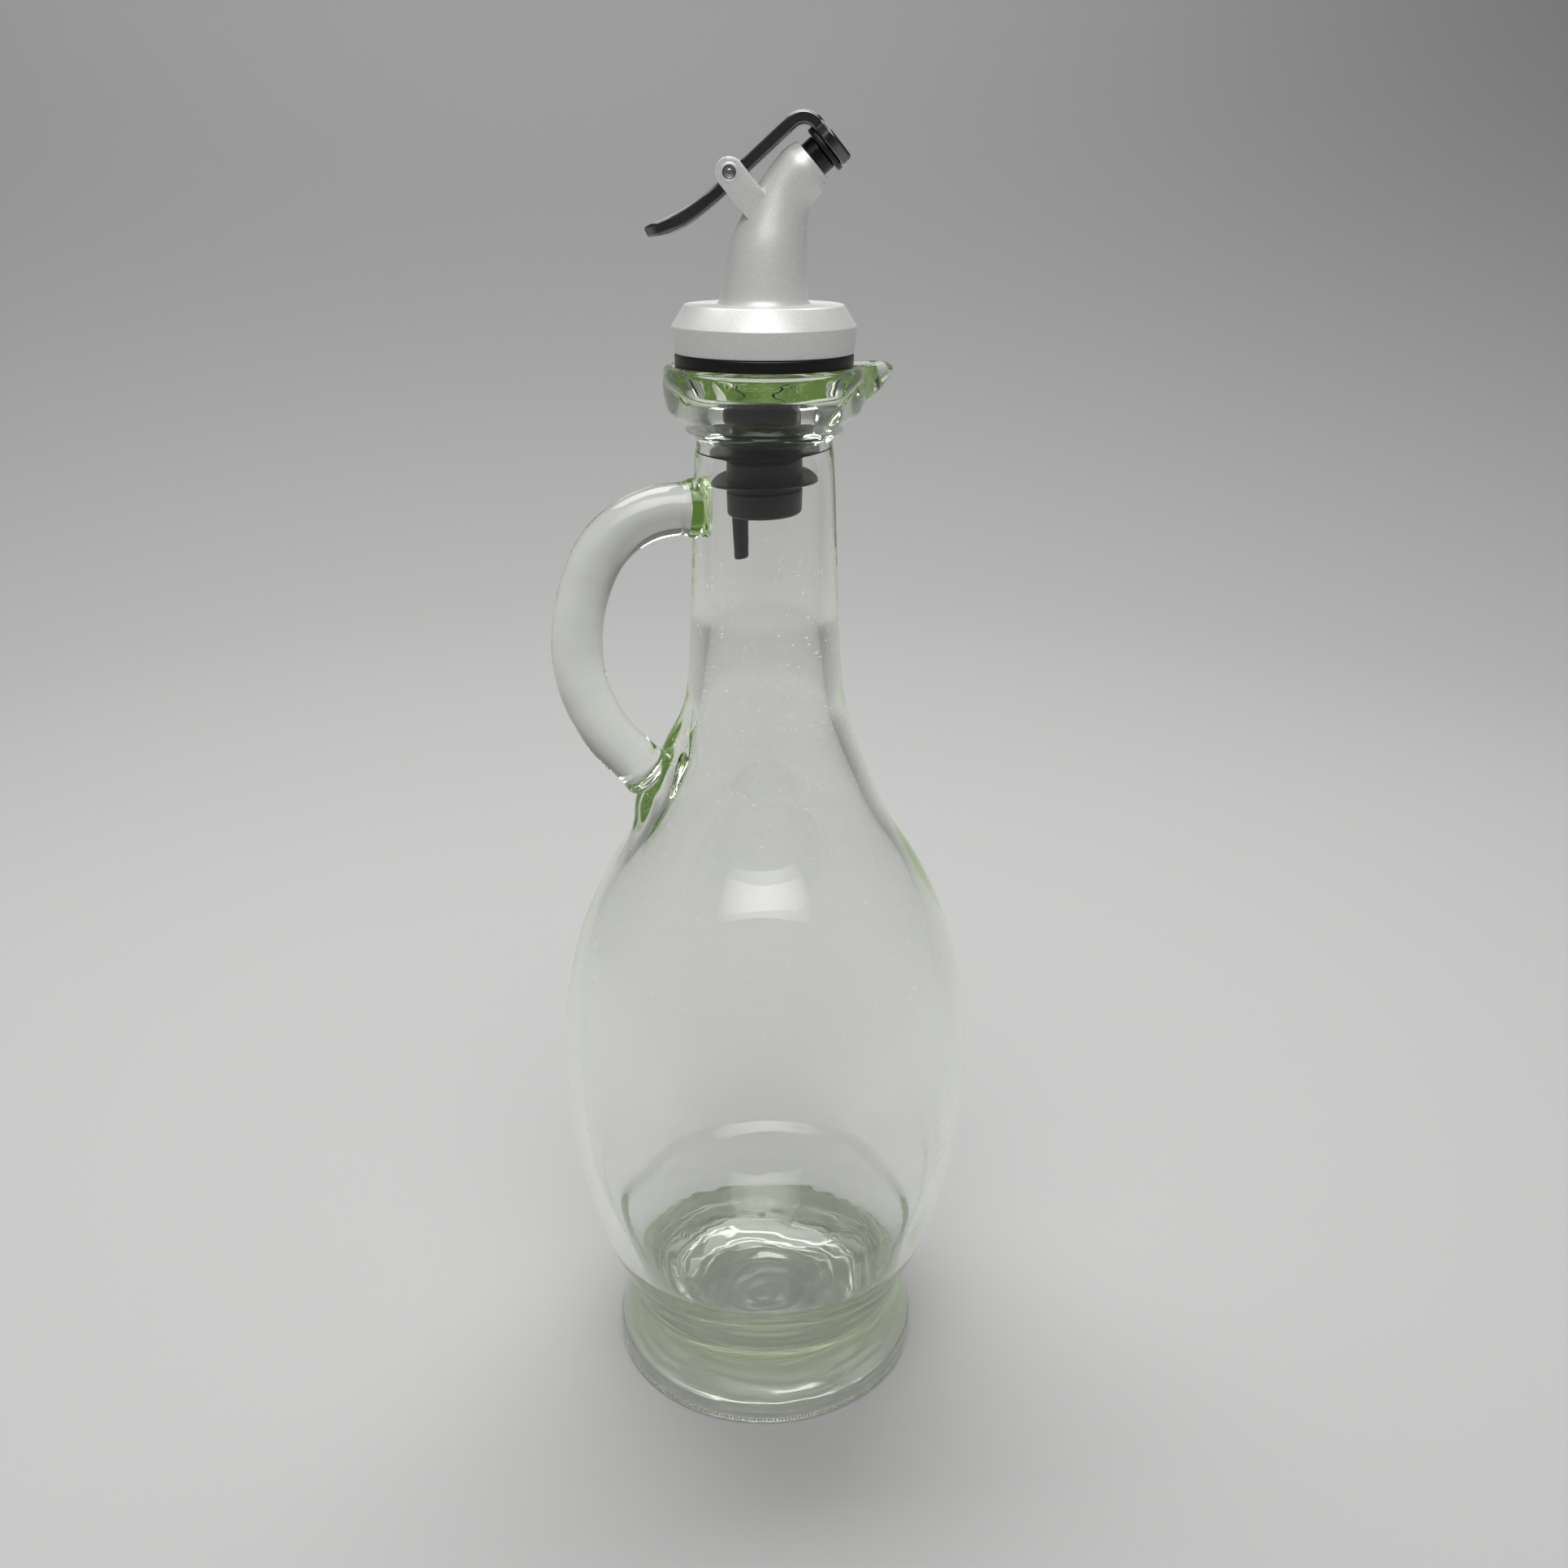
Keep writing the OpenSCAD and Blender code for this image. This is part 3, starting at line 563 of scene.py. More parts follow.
    def handle_rod(self) -> Shell:
        """The rod, flared at the neck and rounded off at its lower end."""
        path = self.handle_line()
        run = distances(path)
        from_neck = run - (self.throat_r - self.bore_r)
        left = run[-1] - run
        flare = 0.8 * np.exp(-np.clip(from_neck, 0, None) / 0.7)
        foot = 0.5 * np.exp(-((left - 2.0) / 1.8) ** 2)
        nose = np.sqrt(np.clip(1 - (1 - np.clip(left / 1.8, 0, 1)) ** 2, 0.02, 1))
        rod = swept(path, (self.rod_r + flare + foot) * (0.55 + 0.45 * nose), 72)
        near_ends = np.exp(-np.concatenate([np.repeat(np.minimum(np.abs(from_neck), left), 72), [0, 0]]) / 4)
        swell = (0.05 + 0.14 * near_ends) * ripple(rod.points, 3.2, 5.0) + 0.12 * ripple(rod.points, 11, 2.0)
        rod.points += swell[:, None] * np.array([1, 1, 0])
        inward = np.hypot(rod.points[:, 0], rod.points[:, 1])
        short = (inward < self.bore_r + 1.3) & (rod.points[:, 2] > self.neck_z)
        rod.points[short, :2] *= ((self.bore_r + 1.3) / inward[short])[:, None]
        return rod

    def build(self) -> bpy.types.Object:
        """Makes the bottle and its handle as one piece of glass."""
        rows = turned_rows(self.profile(), self.around)
        self.press_pad(rows)
        self.draw_out_beak(rows)
        self.loosen(rows)
        bottle = make_object("bottle_glass", rings(rows), self.glass, sharp=60)
        return joined(bottle, [make_object("rod", self.handle_rod(), self.glass)])


# ---- what repeats, by geometry nodes ------------------------------------------


@dataclass
class Scatter:
    """A node tree that puts copies of a small bead on a mesh, on its points or strewn over its faces."""

    name: str
    bead_mm: tuple[float, float]
    finish: bpy.types.Material
    density: float = 0.0
    seed: int = 4

    def tree(self) -> tuple[bpy.types.NodeTree, dict[str, str]]:
        """Makes the node tree.

        Returns:
            The tree, and the identifier of each named input.
        """
        tree = bpy.data.node_groups.new(self.name, "GeometryNodeTree")
        face = tree.interface
        face.new_socket("Geometry", in_out="INPUT", socket_type="NodeSocketGeometry")
        named = {n: face.new_socket(n, in_out="INPUT", socket_type="NodeSocketFloat").identifier
                 for n in ("Smallest", "Largest", "Density")}
        face.new_socket("Geometry", in_out="OUTPUT", socket_type="NodeSocketGeometry")
        given = add_node(tree, "NodeGroupInput")
        if self.density:
            where = add_node(tree, "GeometryNodeDistributePointsOnFaces", {
                "Mesh": given.outputs["Geometry"], "Density": given.outputs["Density"], "Seed": self.seed})
        else:
            where = add_node(tree, "GeometryNodeMeshToPoints", {"Mesh": given.outputs["Geometry"]})
        size = add_node(tree, "FunctionNodeRandomValue", {
            2: given.outputs["Smallest"], 3: given.outputs["Largest"], "Seed": self.seed + 1})
        bead = add_node(tree, "GeometryNodeMeshIcoSphere", {"Radius": 1.0, "Subdivisions": 2})
        copies = add_node(tree, "GeometryNodeInstanceOnPoints", {
            "Points": where.outputs[0], "Instance": bead.outputs[0], "Scale": size.outputs[1]})
        real = add_node(tree, "GeometryNodeRealizeInstances", {"Geometry": copies.outputs[0]})
        dressed = add_node(tree, "GeometryNodeSetMaterial", {"Geometry": real.outputs[0], "Material": self.finish})
        add_node(tree, "NodeGroupOutput", {0: dressed.outputs[0]})
        return tree, named

    def over(self, base: bpy.types.Object) -> bpy.types.Object:
        """Replaces a base object's mesh with the beads on it."""
        tree, named = self.tree()
        live = base.modifiers.new("beads", "NODES")
        live.node_group = tree
        live[named["Smallest"]], live[named["Largest"]] = (b * MM for b in self.bead_mm)
        live[named["Density"]] = self.density
        settle(base, 180)
        base.data.materials.clear()
        base.data.materials.append(self.finish)
        return base


def foot_beads(bottle: GlassBottle) -> bpy.types.Object:
    """The ring of small grip beads that the bottle stands on."""
    ring_r = bottle.foot_r - 3.0
    bead_r, pitch, bead_z = 0.32, 0.75, 0.55
    t = np.arange(0, 2 * math.pi, pitch / ring_r)
    points = np.stack([ring_r * np.cos(t), ring_r * np.sin(t), np.full(len(t), bead_z)], axis=1)
    # The beads' finish glows faintly: painted light, since they are no lamps.
    frosted = Finish.FROSTED_GLOWING.value.build()
    base = make_object("foot_beads", Shell(points, []), frosted)
    return Scatter("bead_ring", (bead_r, bead_r), frosted).over(base)


def lime_specks(bottle: GlassBottle, low: float, high: float, density: float, seed: int) -> bpy.types.Object:
    """Dried specks, which glow with painted light, on the inside of neck and shoulder, between two heights, with so
    many per square metre.
    """
    around = 48
    wall = [p for p in evenly(bottle.inside(), 2.0) if low < p[1] < high]
    t = np.linspace(0, 2 * math.pi, around + 1)
    points = np.array([(r * math.cos(a), r * math.sin(a), z) for r, z in wall for a in t])
    starts = [i * (around + 1) + k for i in range(len(wall) - 1) for k in range(around)]
    faces = [(i, i + 1, i + around + 2, i + around + 1) for i in starts]
    # The specks' finish glows: painted light that stands in for the light they get through the glass.
    lime = bpy.data.materials.get("dried_lime_painted_glow") or Finish.LIME_WITH_PAINTED_GLOW.value.build()
    base = make_object(f"lime_specks_{seed}", Shell(points, faces), lime)
    return Scatter(f"specks_{seed}", (0.07, 0.24), lime, density, seed).over(base)


# ---- stopper and pourer ---------------------------------------------------------


@dataclass
class Stopper:
    """The rubber stopper, its air tube and the gasket, in millimetres."""

    turn: float
    core_r: float = 7.5
    bore_r: float = 10.95
    lean: float = 0.042
    core_end: float = field(default_factory=lambda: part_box("stopper")[0].z / MM)
    top: float = field(default_factory=lambda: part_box("stopper")[1].z / MM)

    def lean_down(self, shell: Shell) -> Shell:
        """Tilts the lower stopper a little, as soft rubber sits in a bore."""
        p = shell.points
        share = 1 - smooth(p[:, 2], self.core_end + 12, self.core_end + 24)
        p[:, 2] += self.lean * p[:, 0] * share
        return shell

    def core(self, rubber: bpy.types.Material) -> bpy.types.Object:
        """Core with its fins: a small one, then two that press on the bore."""
        bite = 0.02
        r, z = self.core_r, self.core_end
        low, mid, high = z + 6.7, z + 12.4, z + 18.1
        seal_r = self.bore_r + bite
        profile = [(0.2, z + 1.0), (r - 2.4, z + 1.0), (r - 2.0, z), *arc((r - 0.9, z + 0.8), 0.8, -90, -10, 4),
                   (r, z + 4.6), (r - 0.35, z + 5.0), (r - 0.35, low - 0.5), (r, low - 0.3),
                   *arc((self.bore_r - 0.65, low), 0.28, -85, 85, 5), (r + 0.1, low + 0.3), (r, low + 0.5)]
        for at in (mid, high):
            profile += [(r, at - 2.2), (r + 0.3, at - 1.8), (seal_r - 1.2, at - 0.8), (seal_r - 0.25, at - 0.45),
                        (seal_r, at - 0.3), (seal_r, at + 0.05), (seal_r - 0.3, at + 0.3), (r + 0.5, at + 0.55),
                        (r, at + 1.0)]
        profile += [(r, self.top - 0.1), (r - 0.2, self.top), (0.2, self.top)]
        shell = self.lean_down(turned(evenly(profile, 0.22), 128))
        return make_object("stopper_rubber", shell, rubber, 40)

    def air_tube(self, rubber: bpy.types.Material) -> bpy.types.Object:
        """Tapered air tube with a slanted, slightly rough end."""
        bottom, r0, r1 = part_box("vent_tube")[0].z / MM, 1.42, 1.68
        profile = [(0.75, self.core_end + 1), (0.75, bottom + 0.15), (0.9, bottom), (r0 - 0.15, bottom),
                   (r0, bottom + 0.2), (mix(r0, r1, 0.5), mix(bottom, self.core_end, 0.5)), (r1, self.core_end),
                   (r1, self.core_end + 2), (1.0, self.core_end + 2)]
        shell = turned(evenly(profile, 0.25), 40, loop=True)
        p = shell.points
        cut = 1 - smooth(p[:, 2], bottom, bottom + 4)
        p[:, 2] += cut * (0.30 + 0.16 * p[:, 0])
        p[:, 2] = np.maximum(p[:, 2], bottom)
        p[:, 0] += 0.05 * ripple(p, 1.4, 2.0)
        lean = np.clip((self.core_end - p[:, 2]) / 9, 0, 1)
        p[:, 0] += -4.9 + 0.25 * lean
        return make_object("air_tube", shell.moved(Matrix.Rotation(self.turn, 4, "Z")), rubber, 50)

    def gasket(self, rubber: bpy.types.Material) -> bpy.types.Object:
        """Flat gasket ring with round edges."""
        low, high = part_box("gasket")
        r, z0, z1, hole = high.y / MM, low.z / MM, high.z / MM, self.core_r + 0.08
        edge = 0.35
        profile = [(hole, z0 + 0.1), (hole + 0.1, z0), *arc((r - edge, z0 + edge), edge, -90, 0, 4),
                   *arc((r - edge, z1 - edge), edge, 0, 90, 4), (hole + 0.1, z1), (hole, z1 - 0.1)]
        return make_object("gasket_ring", turned(profile, 160, loop=True), rubber, 50)


@dataclass
class Pourer:
    """The silver pourer with its nozzle and hinge pin, in millimetres from the collar's foot."""

    turn: float
    collar_r: float = field(default_factory=lambda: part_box("housing")[1].y / MM)
    collar_z: float = field(default_factory=lambda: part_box("housing")[0].z / MM)
    collar_h: float = 8.8
    wall: float = 2
    stem_r: float = 8.35
    mouth_x: float = 8.8
    mouth_z: float = 33.4
    mouth_r: float = 4.35
    tilt: float = math.radians(41)
    nozzle_r: float = 3.3
    nozzle_out: float = 2.4
    pin_back: float = 12.6
    pin_up: float = 8.2
    pin_r: float = 1.1
    hole_r: float = 1.25
    ear_r: float = 2.65
    ear_t: float = 1.4
    arm_w: float = 5.6
    ear_gap: float = 0.2
    spring_r: float = 1.85
    spring_wire: float = 0.45
    spring_pitch: float = 0.6
    spring_turns: float = 3.0

    def __post_init__(self) -> None:
        """Works out where the pourer and its spout's axes are."""
        self.place = Matrix.Translation((0, 0, self.collar_z)) @ Matrix.Rotation(self.turn, 4, "Z")
        self.spout = (self.place @ Matrix.Translation((self.mouth_x, 0, self.mouth_z))
                      @ Matrix.Rotation(-self.tilt, 4, "Y"))
        self.pin = self.spout @ Matrix.Translation((-self.pin_back, 0, self.pin_up))
        self.ear_in = self.arm_w / 2 + self.ear_gap

    def collar(self) -> Shell:
        """Collar with a bevelled shoulder, hollow underneath."""
        r, h, top_r = self.collar_r, self.collar_h, self.collar_r - 2.15
        profile = [(r - self.wall, 0.2), (r - self.wall + 0.2, 0), *arc((r - 0.75, 0.3), 0.3, -90, -10, 4),
                   (r - 0.12, h - 4.6), *arc((r - 0.5, h - 4.1), 0.5, 5, 42, 5),
                   *arc((top_r - 0.8, h - 0.85), 0.8, 42, 88, 6), (top_r - 3, h), (1, h), (1, h - 3.5),
                   (r - self.wall, h - 4.4)]
        return turned(profile, 192, loop=True)

    def stem(self) -> Shell:
        """Stem that rises from the collar and turns into the spout."""
        up = np.array([-math.sin(self.tilt), math.cos(self.tilt)])
        out = np.array([math.cos(self.tilt), math.sin(self.tilt)])
        mouth = np.array([self.mouth_x, self.mouth_z])
        rear = [(-self.stem_r - 0.1, self.collar_h - 1), (-self.stem_r + 0.05, self.collar_h + 1), (-7.8, 13.7),
                (-6.4, 19.3), (-4.2, 24), (-0.9, 29.8), tuple(mouth + up * (self.mouth_r + 0.45) - out * 3.2),
                tuple(mouth + up * (self.mouth_r + 0.1) - out * 0.6)]
        front = [(self.stem_r - 0.15, self.collar_h - 1), (self.stem_r - 0.25, self.collar_h + 1), (8.02, 13.2),
                 (8, 18.5), (8, 22.6), (8.75, 25.9), (10.65, 28.2),
                 tuple(mouth - up * (self.mouth_r + 0.05) - out * 0.5)]
        a, b = np.array(spline(rear, 7)), np.array(spline(front, 7))
        n = 72
        t = np.linspace(0, 2 * math.pi, n, endpoint=False)
        centre, half = (a + b) / 2, (b - a) / 2
        wide = np.linalg.norm(half, axis=1)
        foot = 0.5 * np.exp(-np.clip(a[:, 1] - self.collar_h, 0, None) / 0.45)
        grow = 1 + foot / wide
        rows = np.stack([centre[:, :1] + np.outer(half[:, 0] * grow, np.cos(t)), np.outer(wide * grow, np.sin(t)),
                         centre[:, 1:] + np.outer(half[:, 1] * grow, np.cos(t))], axis=2)
        ends = []
        for inset, ahead in ((0.03, 0.35), (0.16, 0.55), (0.45, 0.62), (1.0, 0.62)):
            ring = rows[-1] * (1 - inset / self.mouth_r) + rows[-1].mean(0) * inset / self.mouth_r
            ends.append(ring + np.array([out[0], 0, out[1]]) * ahead)
        return rings(np.concatenate([rows, ends]))

    def ear(self, side: int) -> Shell:
        """One ear, in the spout's axes: a round eye on a straight root, with a sunk ring round the pin."""
        root = 8.8
        outline = [*arc((0, 0), self.ear_r, 0, 180, 20), *[(-self.ear_r, -v) for v in np.linspace(1, root, 6)],
                   *[(self.ear_r, -v) for v in np.linspace(root, 1, 6)]]
        p = np.array(outline)
        levels = [(0.0, 0.12), (0.12, 0.0), (self.ear_t - 0.28, 0.0), (self.ear_t - 0.08, 0.08), (self.ear_t, 0.28)]
        rows = [np.stack([p[:, 0] * (1 - cut / self.ear_r), np.full(len(p), depth), p[:, 1] * (1 - cut / root)], axis=1)
                for depth, cut in levels]
        shell = rings(np.array(rows)[:, ::-1])
        shell.points[:, 1] = side * (self.ear_in + shell.points[:, 1])
        if side < 0:
            shell.faces = [f[::-1] for f in shell.faces]
        return shell

    def washer(self, side: int) -> Shell:
        """Raised ring round the pin's head on an ear."""
        face = self.ear_in + self.ear_t
        inner, outer = self.hole_r - 0.1, self.hole_r + 0.5
        profile = [(inner, -0.3), (outer, -0.3), (outer, 0.02), (outer - 0.16, 0.14), (inner + 0.2, 0.16),
                   (inner, 0.04)]
        turn = Matrix.Translation((0, side * face, 0)) @ Matrix.Rotation(-side * math.pi / 2, 4, "X")
        return turned(profile, 48, loop=True).moved(turn)

    def housing(self, silver: bpy.types.Material) -> bpy.types.Object:
        """The silver shell: collar, stem and ears fused, drilled through the ears for the pin."""
        body = make_object("pourer_housing", self.collar().moved(self.place), silver, 30)
        stem = make_object("stem", self.stem().moved(self.place), silver, 30)
        ears = [make_object("ear", self.ear(side).moved(self.pin), silver, 30) for side in (1, -1)]
        rims = [make_object("rim", self.washer(side).moved(self.pin), silver, 30) for side in (1, -1)]
        joined(body, [stem, *ears, *rims])
        across = self.ear_in + self.ear_t + 1
        drill = turned([(self.hole_r, -across), (self.hole_r, across)], 48)
        drill = drill.moved(self.pin @ ALONG_Y)
        return joined(body, [make_object("drill", drill, silver, 30)], "DIFFERENCE")

    def nozzle(self, plastic: bpy.types.Material) -> bpy.types.Object:
        """Black nozzle tube with a rounded end."""
        r, end = self.nozzle_r, self.nozzle_out
        profile = [(2.4, -4), (r, -4), (r, end - 0.4), *arc((r - 0.35, end - 0.35), 0.35, 0, 90, 5),
                   (2.6, end), (2.4, end - 0.2)]
        shell = turned(profile, 72, loop=True).moved(self.spout @ ALONG_X)
        return make_object("nozzle", shell, plastic, 40)

    def hinge_pin(self, steel: bpy.types.Material) -> bpy.types.Object:
        """Pin with two domed, dimpled heads."""
        half = self.ear_in + self.ear_t - 0.1
        head = [(self.pin_r, half - 1.1), (self.pin_r, half - 0.9), (0.75, half - 0.75), (0.72, half - 0.4),
                *arc((0.4, half - 0.32), 0.32, 0, 80, 5), (0.1, half)]
        profile = [(r, -z) for r, z in head[::-1]] + head
        shell = turned(profile, 40).moved(self.pin @ ALONG_Y)
        return make_object("pin", shell, steel, 40)

    def spring(self, steel: bpy.types.Material) -> bpy.types.Object:
        """Wire coil round the pin: one leg on the housing, one short leg that ends in the lever's pocket."""
        r, y0 = self.spring_r, 0.95
        w = np.linspace(0.2, 2 * math.pi * self.spring_turns, 78)
        coil = np.stack([-r * np.sin(w), y0 + self.spring_pitch * w / (2 * math.pi), -r * np.cos(w)], axis=1)
        y1 = y0 + self.spring_pitch * self.spring_turns
        path = np.array([(1.3, y0, -5.4), (0.9, y0, -2.9), (0.3, y0, -2.1), *coil, (-0.45, y1, -r - 0.15),
                         (-0.9, y1, -r - 0.4)])
        shell = swept(path, np.full(len(path), self.spring_wire / 2), 10).moved(self.pin)
        return make_object("spring", shell, steel, 40)


@dataclass
class Lever:
    """The sprung lever that opens and shuts the mouth, in the spout's axes: u along it, v above it."""

    pourer: Pourer
    arm_t: float = 2.45
    thumb_l: float = 18.4
    thumb_w: float = 6.8
    seal_r: float = 4.4
    seal_t: float = 1
    plate_t: float = 2.3
    hub_r: float = 2.4
    pocket_y: float = 0.6

    def __post_init__(self) -> None:
        """Works out the lever's levels."""
        self.top = self.pourer.pin_up + 0.3
        self.low = self.top - self.arm_t
        self.plate_u = self.pourer.nozzle_out + 0.05 + self.seal_t
        self.tip_u = -self.pourer.pin_back - self.thumb_l

    def edges(self) -> tuple[np.ndarray, np.ndarray]:
        """Upper and lower edge of the lever's side, as many points each, from thumb tip to plate end."""
        tip, back, far = self.tip_u, -self.pourer.pin_back, self.plate_u + self.plate_t
        upper = [*spline([(tip + 0.6, self.top + 3.05), (tip + 7.6, self.top + 0.9), (tip + 14, self.top + 0.05),
                          (back, self.top)], 10),
                 (-4.0, self.top), *arc((far - 4.5, self.top - 4.5), 4.5, 90, 0, 16),
                 (far, 1.5), (far, -self.seal_r + 0.9)]
        lower = [*spline([(tip + 0.05, self.low + 3.5), (tip + 5.2, self.low + 0.85), (tip + 12.4, self.low),
                          (back, self.low)], 10),
                 (-4.0, self.low), *arc((self.plate_u - 2.2, self.low - 2.2), 2.2, 90, 0, 16),
                 (self.plate_u, 1.5), (self.plate_u, -self.seal_r + 0.9)]
        return np.array(upper), np.array(lower)

    def width(self, u: np.ndarray, v: np.ndarray) -> np.ndarray:
        """Width of the lever at each place: a broad thumb end, a narrow arm and a round plate."""
        arm = self.pourer.arm_w
        thumb = mix(self.thumb_w, arm, smooth(u, self.tip_u + 2, self.tip_u + 17))
        tip = np.sqrt(np.clip(1 - (1 - np.clip((u - self.tip_u) / 2.2, 0, 1)) ** 2, 0.12, 1))
        disc = 2 * np.sqrt(np.clip(self.seal_r**2 - v**2, 0, None))
        on_plate = (u > self.plate_u - 0.5) & (v < self.seal_r)
        return np.where(on_plate, np.maximum(disc, np.where(v > 0, arm, 2.4)), thumb * tip)

    def bar(self) -> Shell:
        """The bent bar, lofted through rounded cross-sections."""
        upper, lower = self.edges()
        upper, lower = (np.array([np.interp(np.linspace(0, len(e) - 1, 120), range(len(e)), e[:, k])
                                  for k in (0, 1)]).T for e in (upper, lower))
        middle, half = (upper + lower) / 2, (upper - lower) / 2
        thick = 2 * np.linalg.norm(half, axis=1)
        wide = self.width(middle[:, 0], middle[:, 1])
        rows = []
        for c, h, t, w in zip(middle, half, thick, wide):
            section = rounded_box(w, t, min(0.6, t * 0.28, w * 0.3), 3)
            section = sunk_sides(section, min(0.22, w * 0.05), w, t)
            up, along = section[:, 1] * h[1] * 2 / t, section[:, 1] * h[0] * 2 / t
            rows.append(np.stack([c[0] + along, section[:, 0], c[1] + up], axis=1))
        first, last = np.array(rows[0]), np.array(rows[-1])
        start = [first.mean(0) + (first - first.mean(0)) * k + np.array([-d, 0, d * 0.35])
                 for k, d in ((0.55, 0.45), (0.82, 0.3), (0.95, 0.12))]
        end = [last.mean(0) + (last - last.mean(0)) * k + np.array([0, 0, -d])
               for k, d in ((0.96, 0.25), (0.85, 0.5), (0.6, 0.68))]
        return rings(np.array([*start, *rows, *end]))

    def build(self, chrome: bpy.types.Material) -> bpy.types.Object:
        """The bar with its hub, bored for the pin and with a pocket for the spring's coil."""
        across = self.pourer.pin @ ALONG_Y
        half = self.pourer.arm_w / 2 - 0.02
        bar = make_object("lever_bar", self.bar().moved(self.pourer.spout), chrome, 50)
        hub = turned([(self.hub_r - 0.25, -half), (self.hub_r, -half + 0.25), (self.hub_r, half - 0.25),
                      (self.hub_r - 0.25, half)], 56)
        joined(bar, [make_object("hub", hub.moved(across), chrome, 50)])
        bore = turned([(self.pourer.pin_r + 0.05, -2 * half), (self.pourer.pin_r + 0.05, 2 * half)], 48)
        pocket = turned([(self.hub_r + 0.4, -2 * half), (self.hub_r + 0.4, -self.pocket_y)], 56)
        return joined(bar, [make_object(name, tool.moved(across), chrome) for name, tool in
                            (("bore", bore), ("pocket", pocket))], "DIFFERENCE")

    def seal(self, rubber: bpy.types.Material) -> bpy.types.Object:
        """Round pad that shuts the mouth, with a thin lip round its edge."""
        r, u1, u0 = self.seal_r, self.plate_u, self.plate_u - self.seal_t
        profile = [(0.2, u0 + 0.15), (2.2, u0 + 0.15), (2.6, u0), *arc((r - 0.3, u0 + 0.3), 0.3, -90, 0, 4),
                   *arc((r - 0.22, u1 - 0.25), 0.22, 0, 80, 4), (r - 0.9, u1), (0.2, u1)]
        shell = turned(profile, 72).moved(self.pourer.spout @ ALONG_X)
        return make_object("seal_pad", shell, rubber, 40)


# ---- studio -----------------------------------------------------------------------


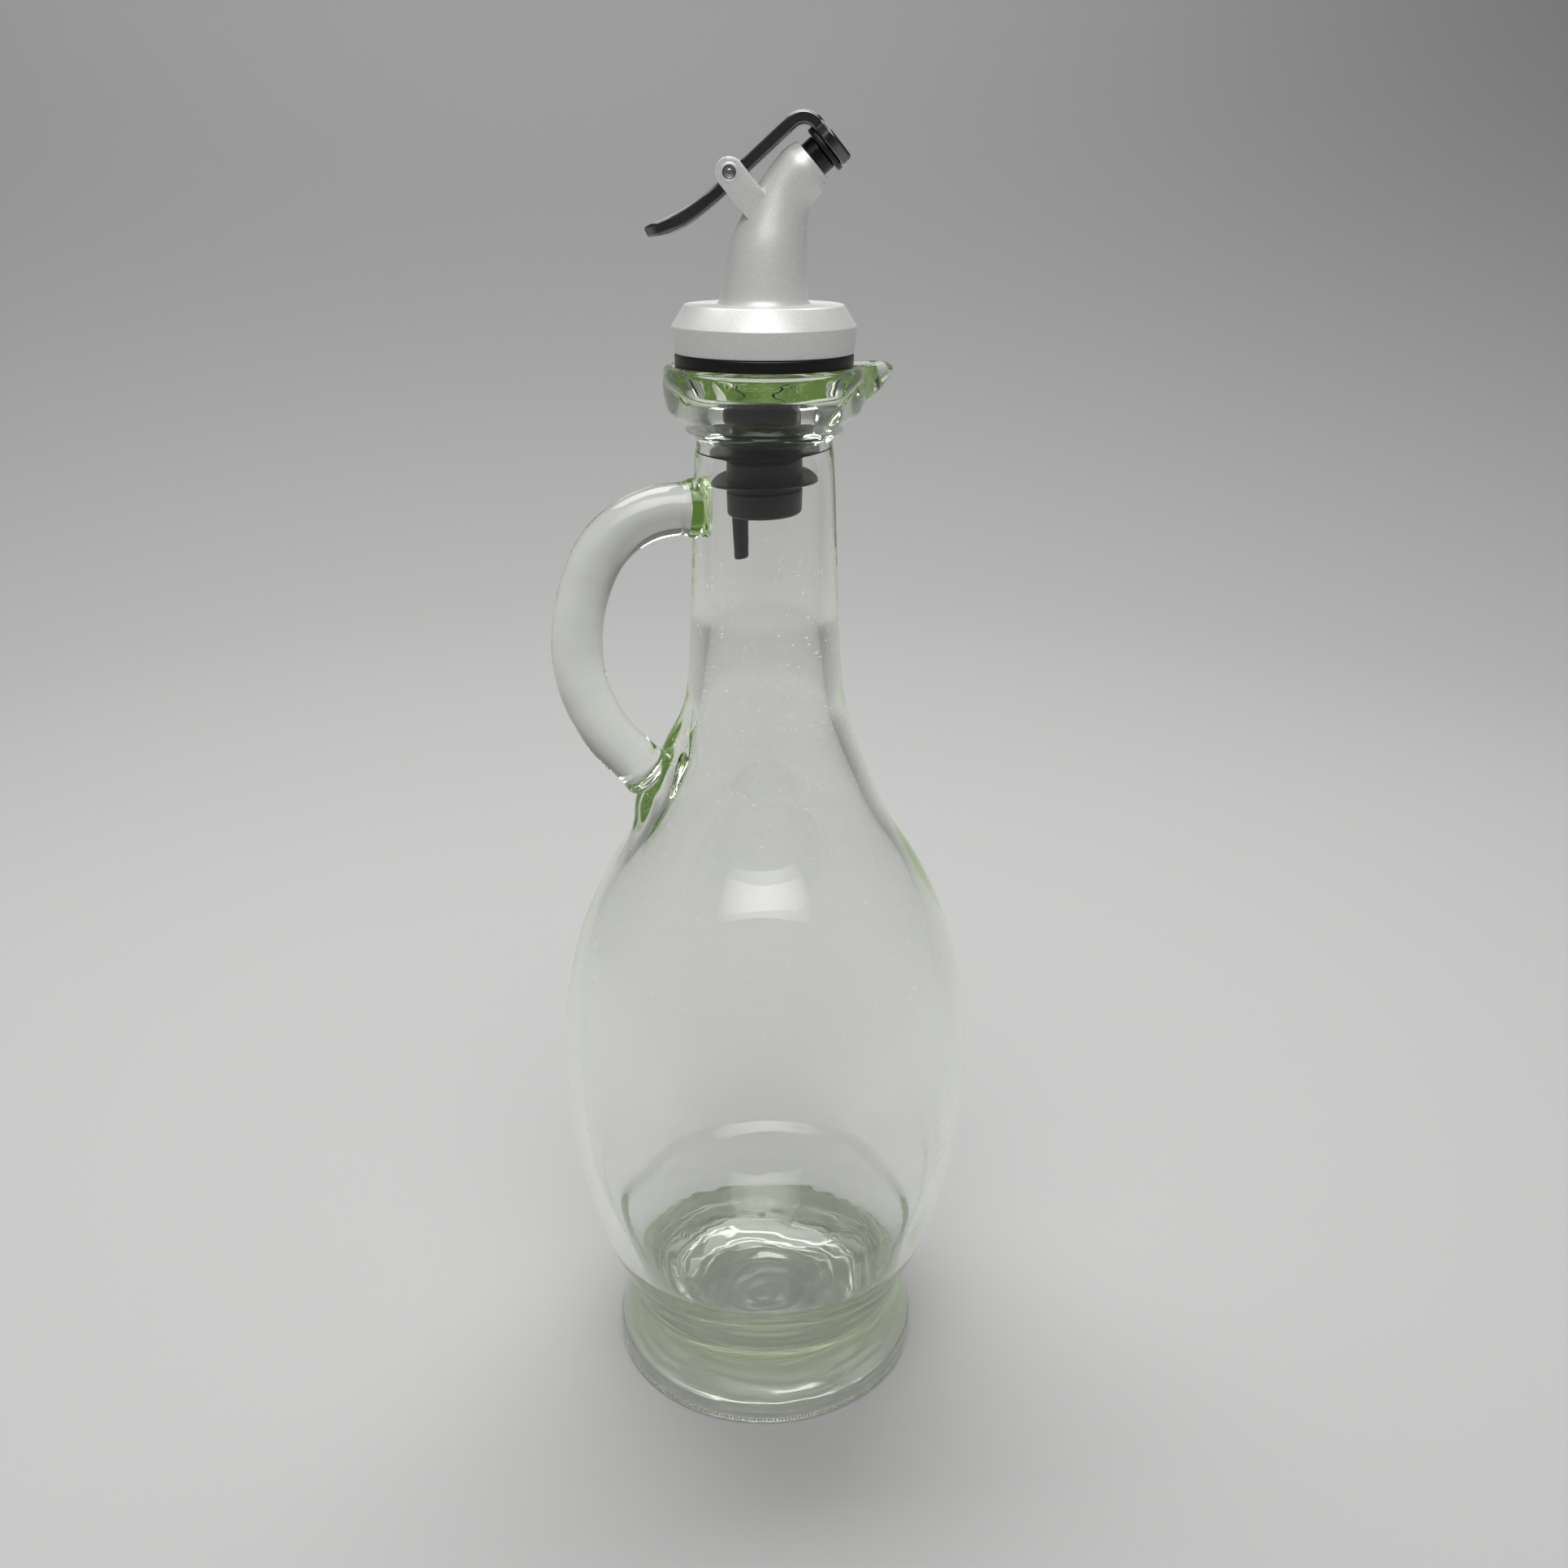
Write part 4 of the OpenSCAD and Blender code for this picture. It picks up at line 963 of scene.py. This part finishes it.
@dataclass(frozen=True)
class Studio:
    """Pale floor that sweeps up all round, soft lights and the camera."""

    floor_colour: str = "#B9B9B8"
    sweep_r: float = 1500
    bend_share: float = 0.55
    air_colour: str = "#E2E4E6"
    air_strength: float = 0.17
    camera_at: Point3 = (-0.04956, -0.28106, 0.2560)
    camera_pan: float = -10.81
    camera_tilt: float = 68.18
    camera_roll: float = 0.21
    lens: float = 33.28
    glass_bounces: int = 96
    glossy_bounces: int = 48

    def floor(self) -> None:
        """Floor disc with an upturned edge, in a pale matt paper."""
        material, tree, place = blank_material("pale_paper")
        shader = add_node(tree, "ShaderNodeBsdfPrincipled", {
            "Base Color": linear(self.floor_colour), "Roughness": 0.7,
            "Normal": skin(tree, lumps(tree, place, 2.5, 3.0), 0.25, 0.2)})
        add_node(tree, "ShaderNodeOutputMaterial", {"Surface": shader.outputs[0]})
        edge, bend = self.sweep_r, self.sweep_r * self.bend_share
        flat = [(r, 0) for r in np.linspace(0.5, edge - bend, 24)[:-1]]
        profile = [*flat, *arc((edge - bend, bend), bend, -90, 0, 30)]
        shell = turned(profile[::-1], 128)
        faces = [f for f in shell.faces if len(shell.points) - 2 not in f]
        make_object("floor", Shell(shell.points, faces), material, 180)

    def light(self, name: str, place: Point3, aim: Point3, size: Point, power: float, spread: float) -> None:
        """One soft area light that shines into a cone so many degrees wide."""
        data = bpy.data.lights.new(name, "AREA")
        data.shape = "RECTANGLE"
        data.size, data.size_y = size
        data.energy = power
        data.spread = math.radians(spread)
        lamp = bpy.data.objects.new(name, data)
        lamp.location = place
        lamp.rotation_euler = (Vector(aim) - Vector(place)).to_track_quat("-Z", "Y").to_euler()
        bpy.context.scene.collection.objects.link(lamp)

    def build(self) -> None:
        """Lights, world and camera."""
        self.floor()
        middle = (0, 0, 0.14)
        self.light("top_softbox", (0.0, 0.42, 1.1), (0, 0.1, 0.05), (1.3, 0.6), 5.6, 120)
        self.light("ceiling_fill", (-0.15, -0.8, 1.35), middle, (1.7, 1.0), 3.6, 70)
        self.light("backdrop_light", (0.0, 0.75, 1.0), (0, 1.5, 0.35), (1.2, 0.3), 2.8, 140)
        world = bpy.data.worlds.new("studio_air")
        world.use_nodes = True
        air = world.node_tree.nodes["Background"]
        air.inputs["Color"].default_value = linear(self.air_colour)
        air.inputs["Strength"].default_value = self.air_strength
        bpy.context.scene.world = world
        data = bpy.data.cameras.new("camera")
        data.lens, data.sensor_width = self.lens, 36
        data.clip_start = 0.01
        camera = bpy.data.objects.new("camera", data)
        camera.matrix_world = (Matrix.Translation(self.camera_at)
                               @ Matrix.Rotation(math.radians(self.camera_pan), 4, "Z")
                               @ Matrix.Rotation(math.radians(self.camera_tilt), 4, "X")
                               @ Matrix.Rotation(math.radians(self.camera_roll), 4, "Z"))
        bpy.context.scene.collection.objects.link(camera)
        scene = bpy.context.scene
        scene.camera = camera
        scene.view_settings.view_transform = "Standard"
        scene.cycles.max_bounces = scene.cycles.transmission_bounces = self.glass_bounces
        scene.cycles.glossy_bounces = self.glossy_bounces


def main() -> None:
    """Builds every piece in order."""
    logging.basicConfig(level=logging.INFO, format="%(message)s")
    hinge = next(j for j in frame["joints"] if j["name"] == "lever_hinge")
    turn = math.atan2(hinge["axis"][0], -hinge["axis"][1])
    rubber, plastic, silver, chrome, steel = (f.value.build() for f in (
        Finish.RUBBER, Finish.POLYPROPYLENE, Finish.SILVER_PAINT, Finish.CHROME, Finish.STEEL))
    bottle, stopper, pourer = GlassBottle(), Stopper(turn), Pourer(turn)
    lever = Lever(pourer)
    fit_piece(bottle.build(), "bottle", "clear_glass", "bottle", "handle")
    fit_piece(foot_beads(bottle), "bottle", "clear_glass")
    fit_piece(lime_specks(bottle, 142, 194, 90000, 3), "bottle", None)
    fit_piece(lime_specks(bottle, 98, 142, 20000, 8), "bottle", None)
    fit_piece(stopper.core(rubber), "pourer", "black_rubber", "stopper")
    fit_piece(stopper.air_tube(rubber), "pourer", "black_plastic", "vent_tube")
    fit_piece(stopper.gasket(rubber), "gasket", "black_rubber", "gasket")
    fit_piece(pourer.housing(silver), "pourer", "silver_plastic", "housing")
    fit_piece(pourer.nozzle(plastic), "pourer", "black_plastic", "nozzle_tube")
    fit_piece(pourer.hinge_pin(steel), "pourer", "steel", "hinge_pin")
    fit_piece(pourer.spring(steel), "pourer", "steel", "torsion_spring")
    fit_piece(lever.build(chrome), "lever", "chrome_plate", "lever")
    fit_piece(lever.seal(rubber), "lever", "black_rubber", "lever_seal")
    insert = frame["nodes"]["insert"].data
    insert.materials.clear()
    insert.materials.append(plastic)
    Studio().build()


if __name__ == "__main__":
    main()
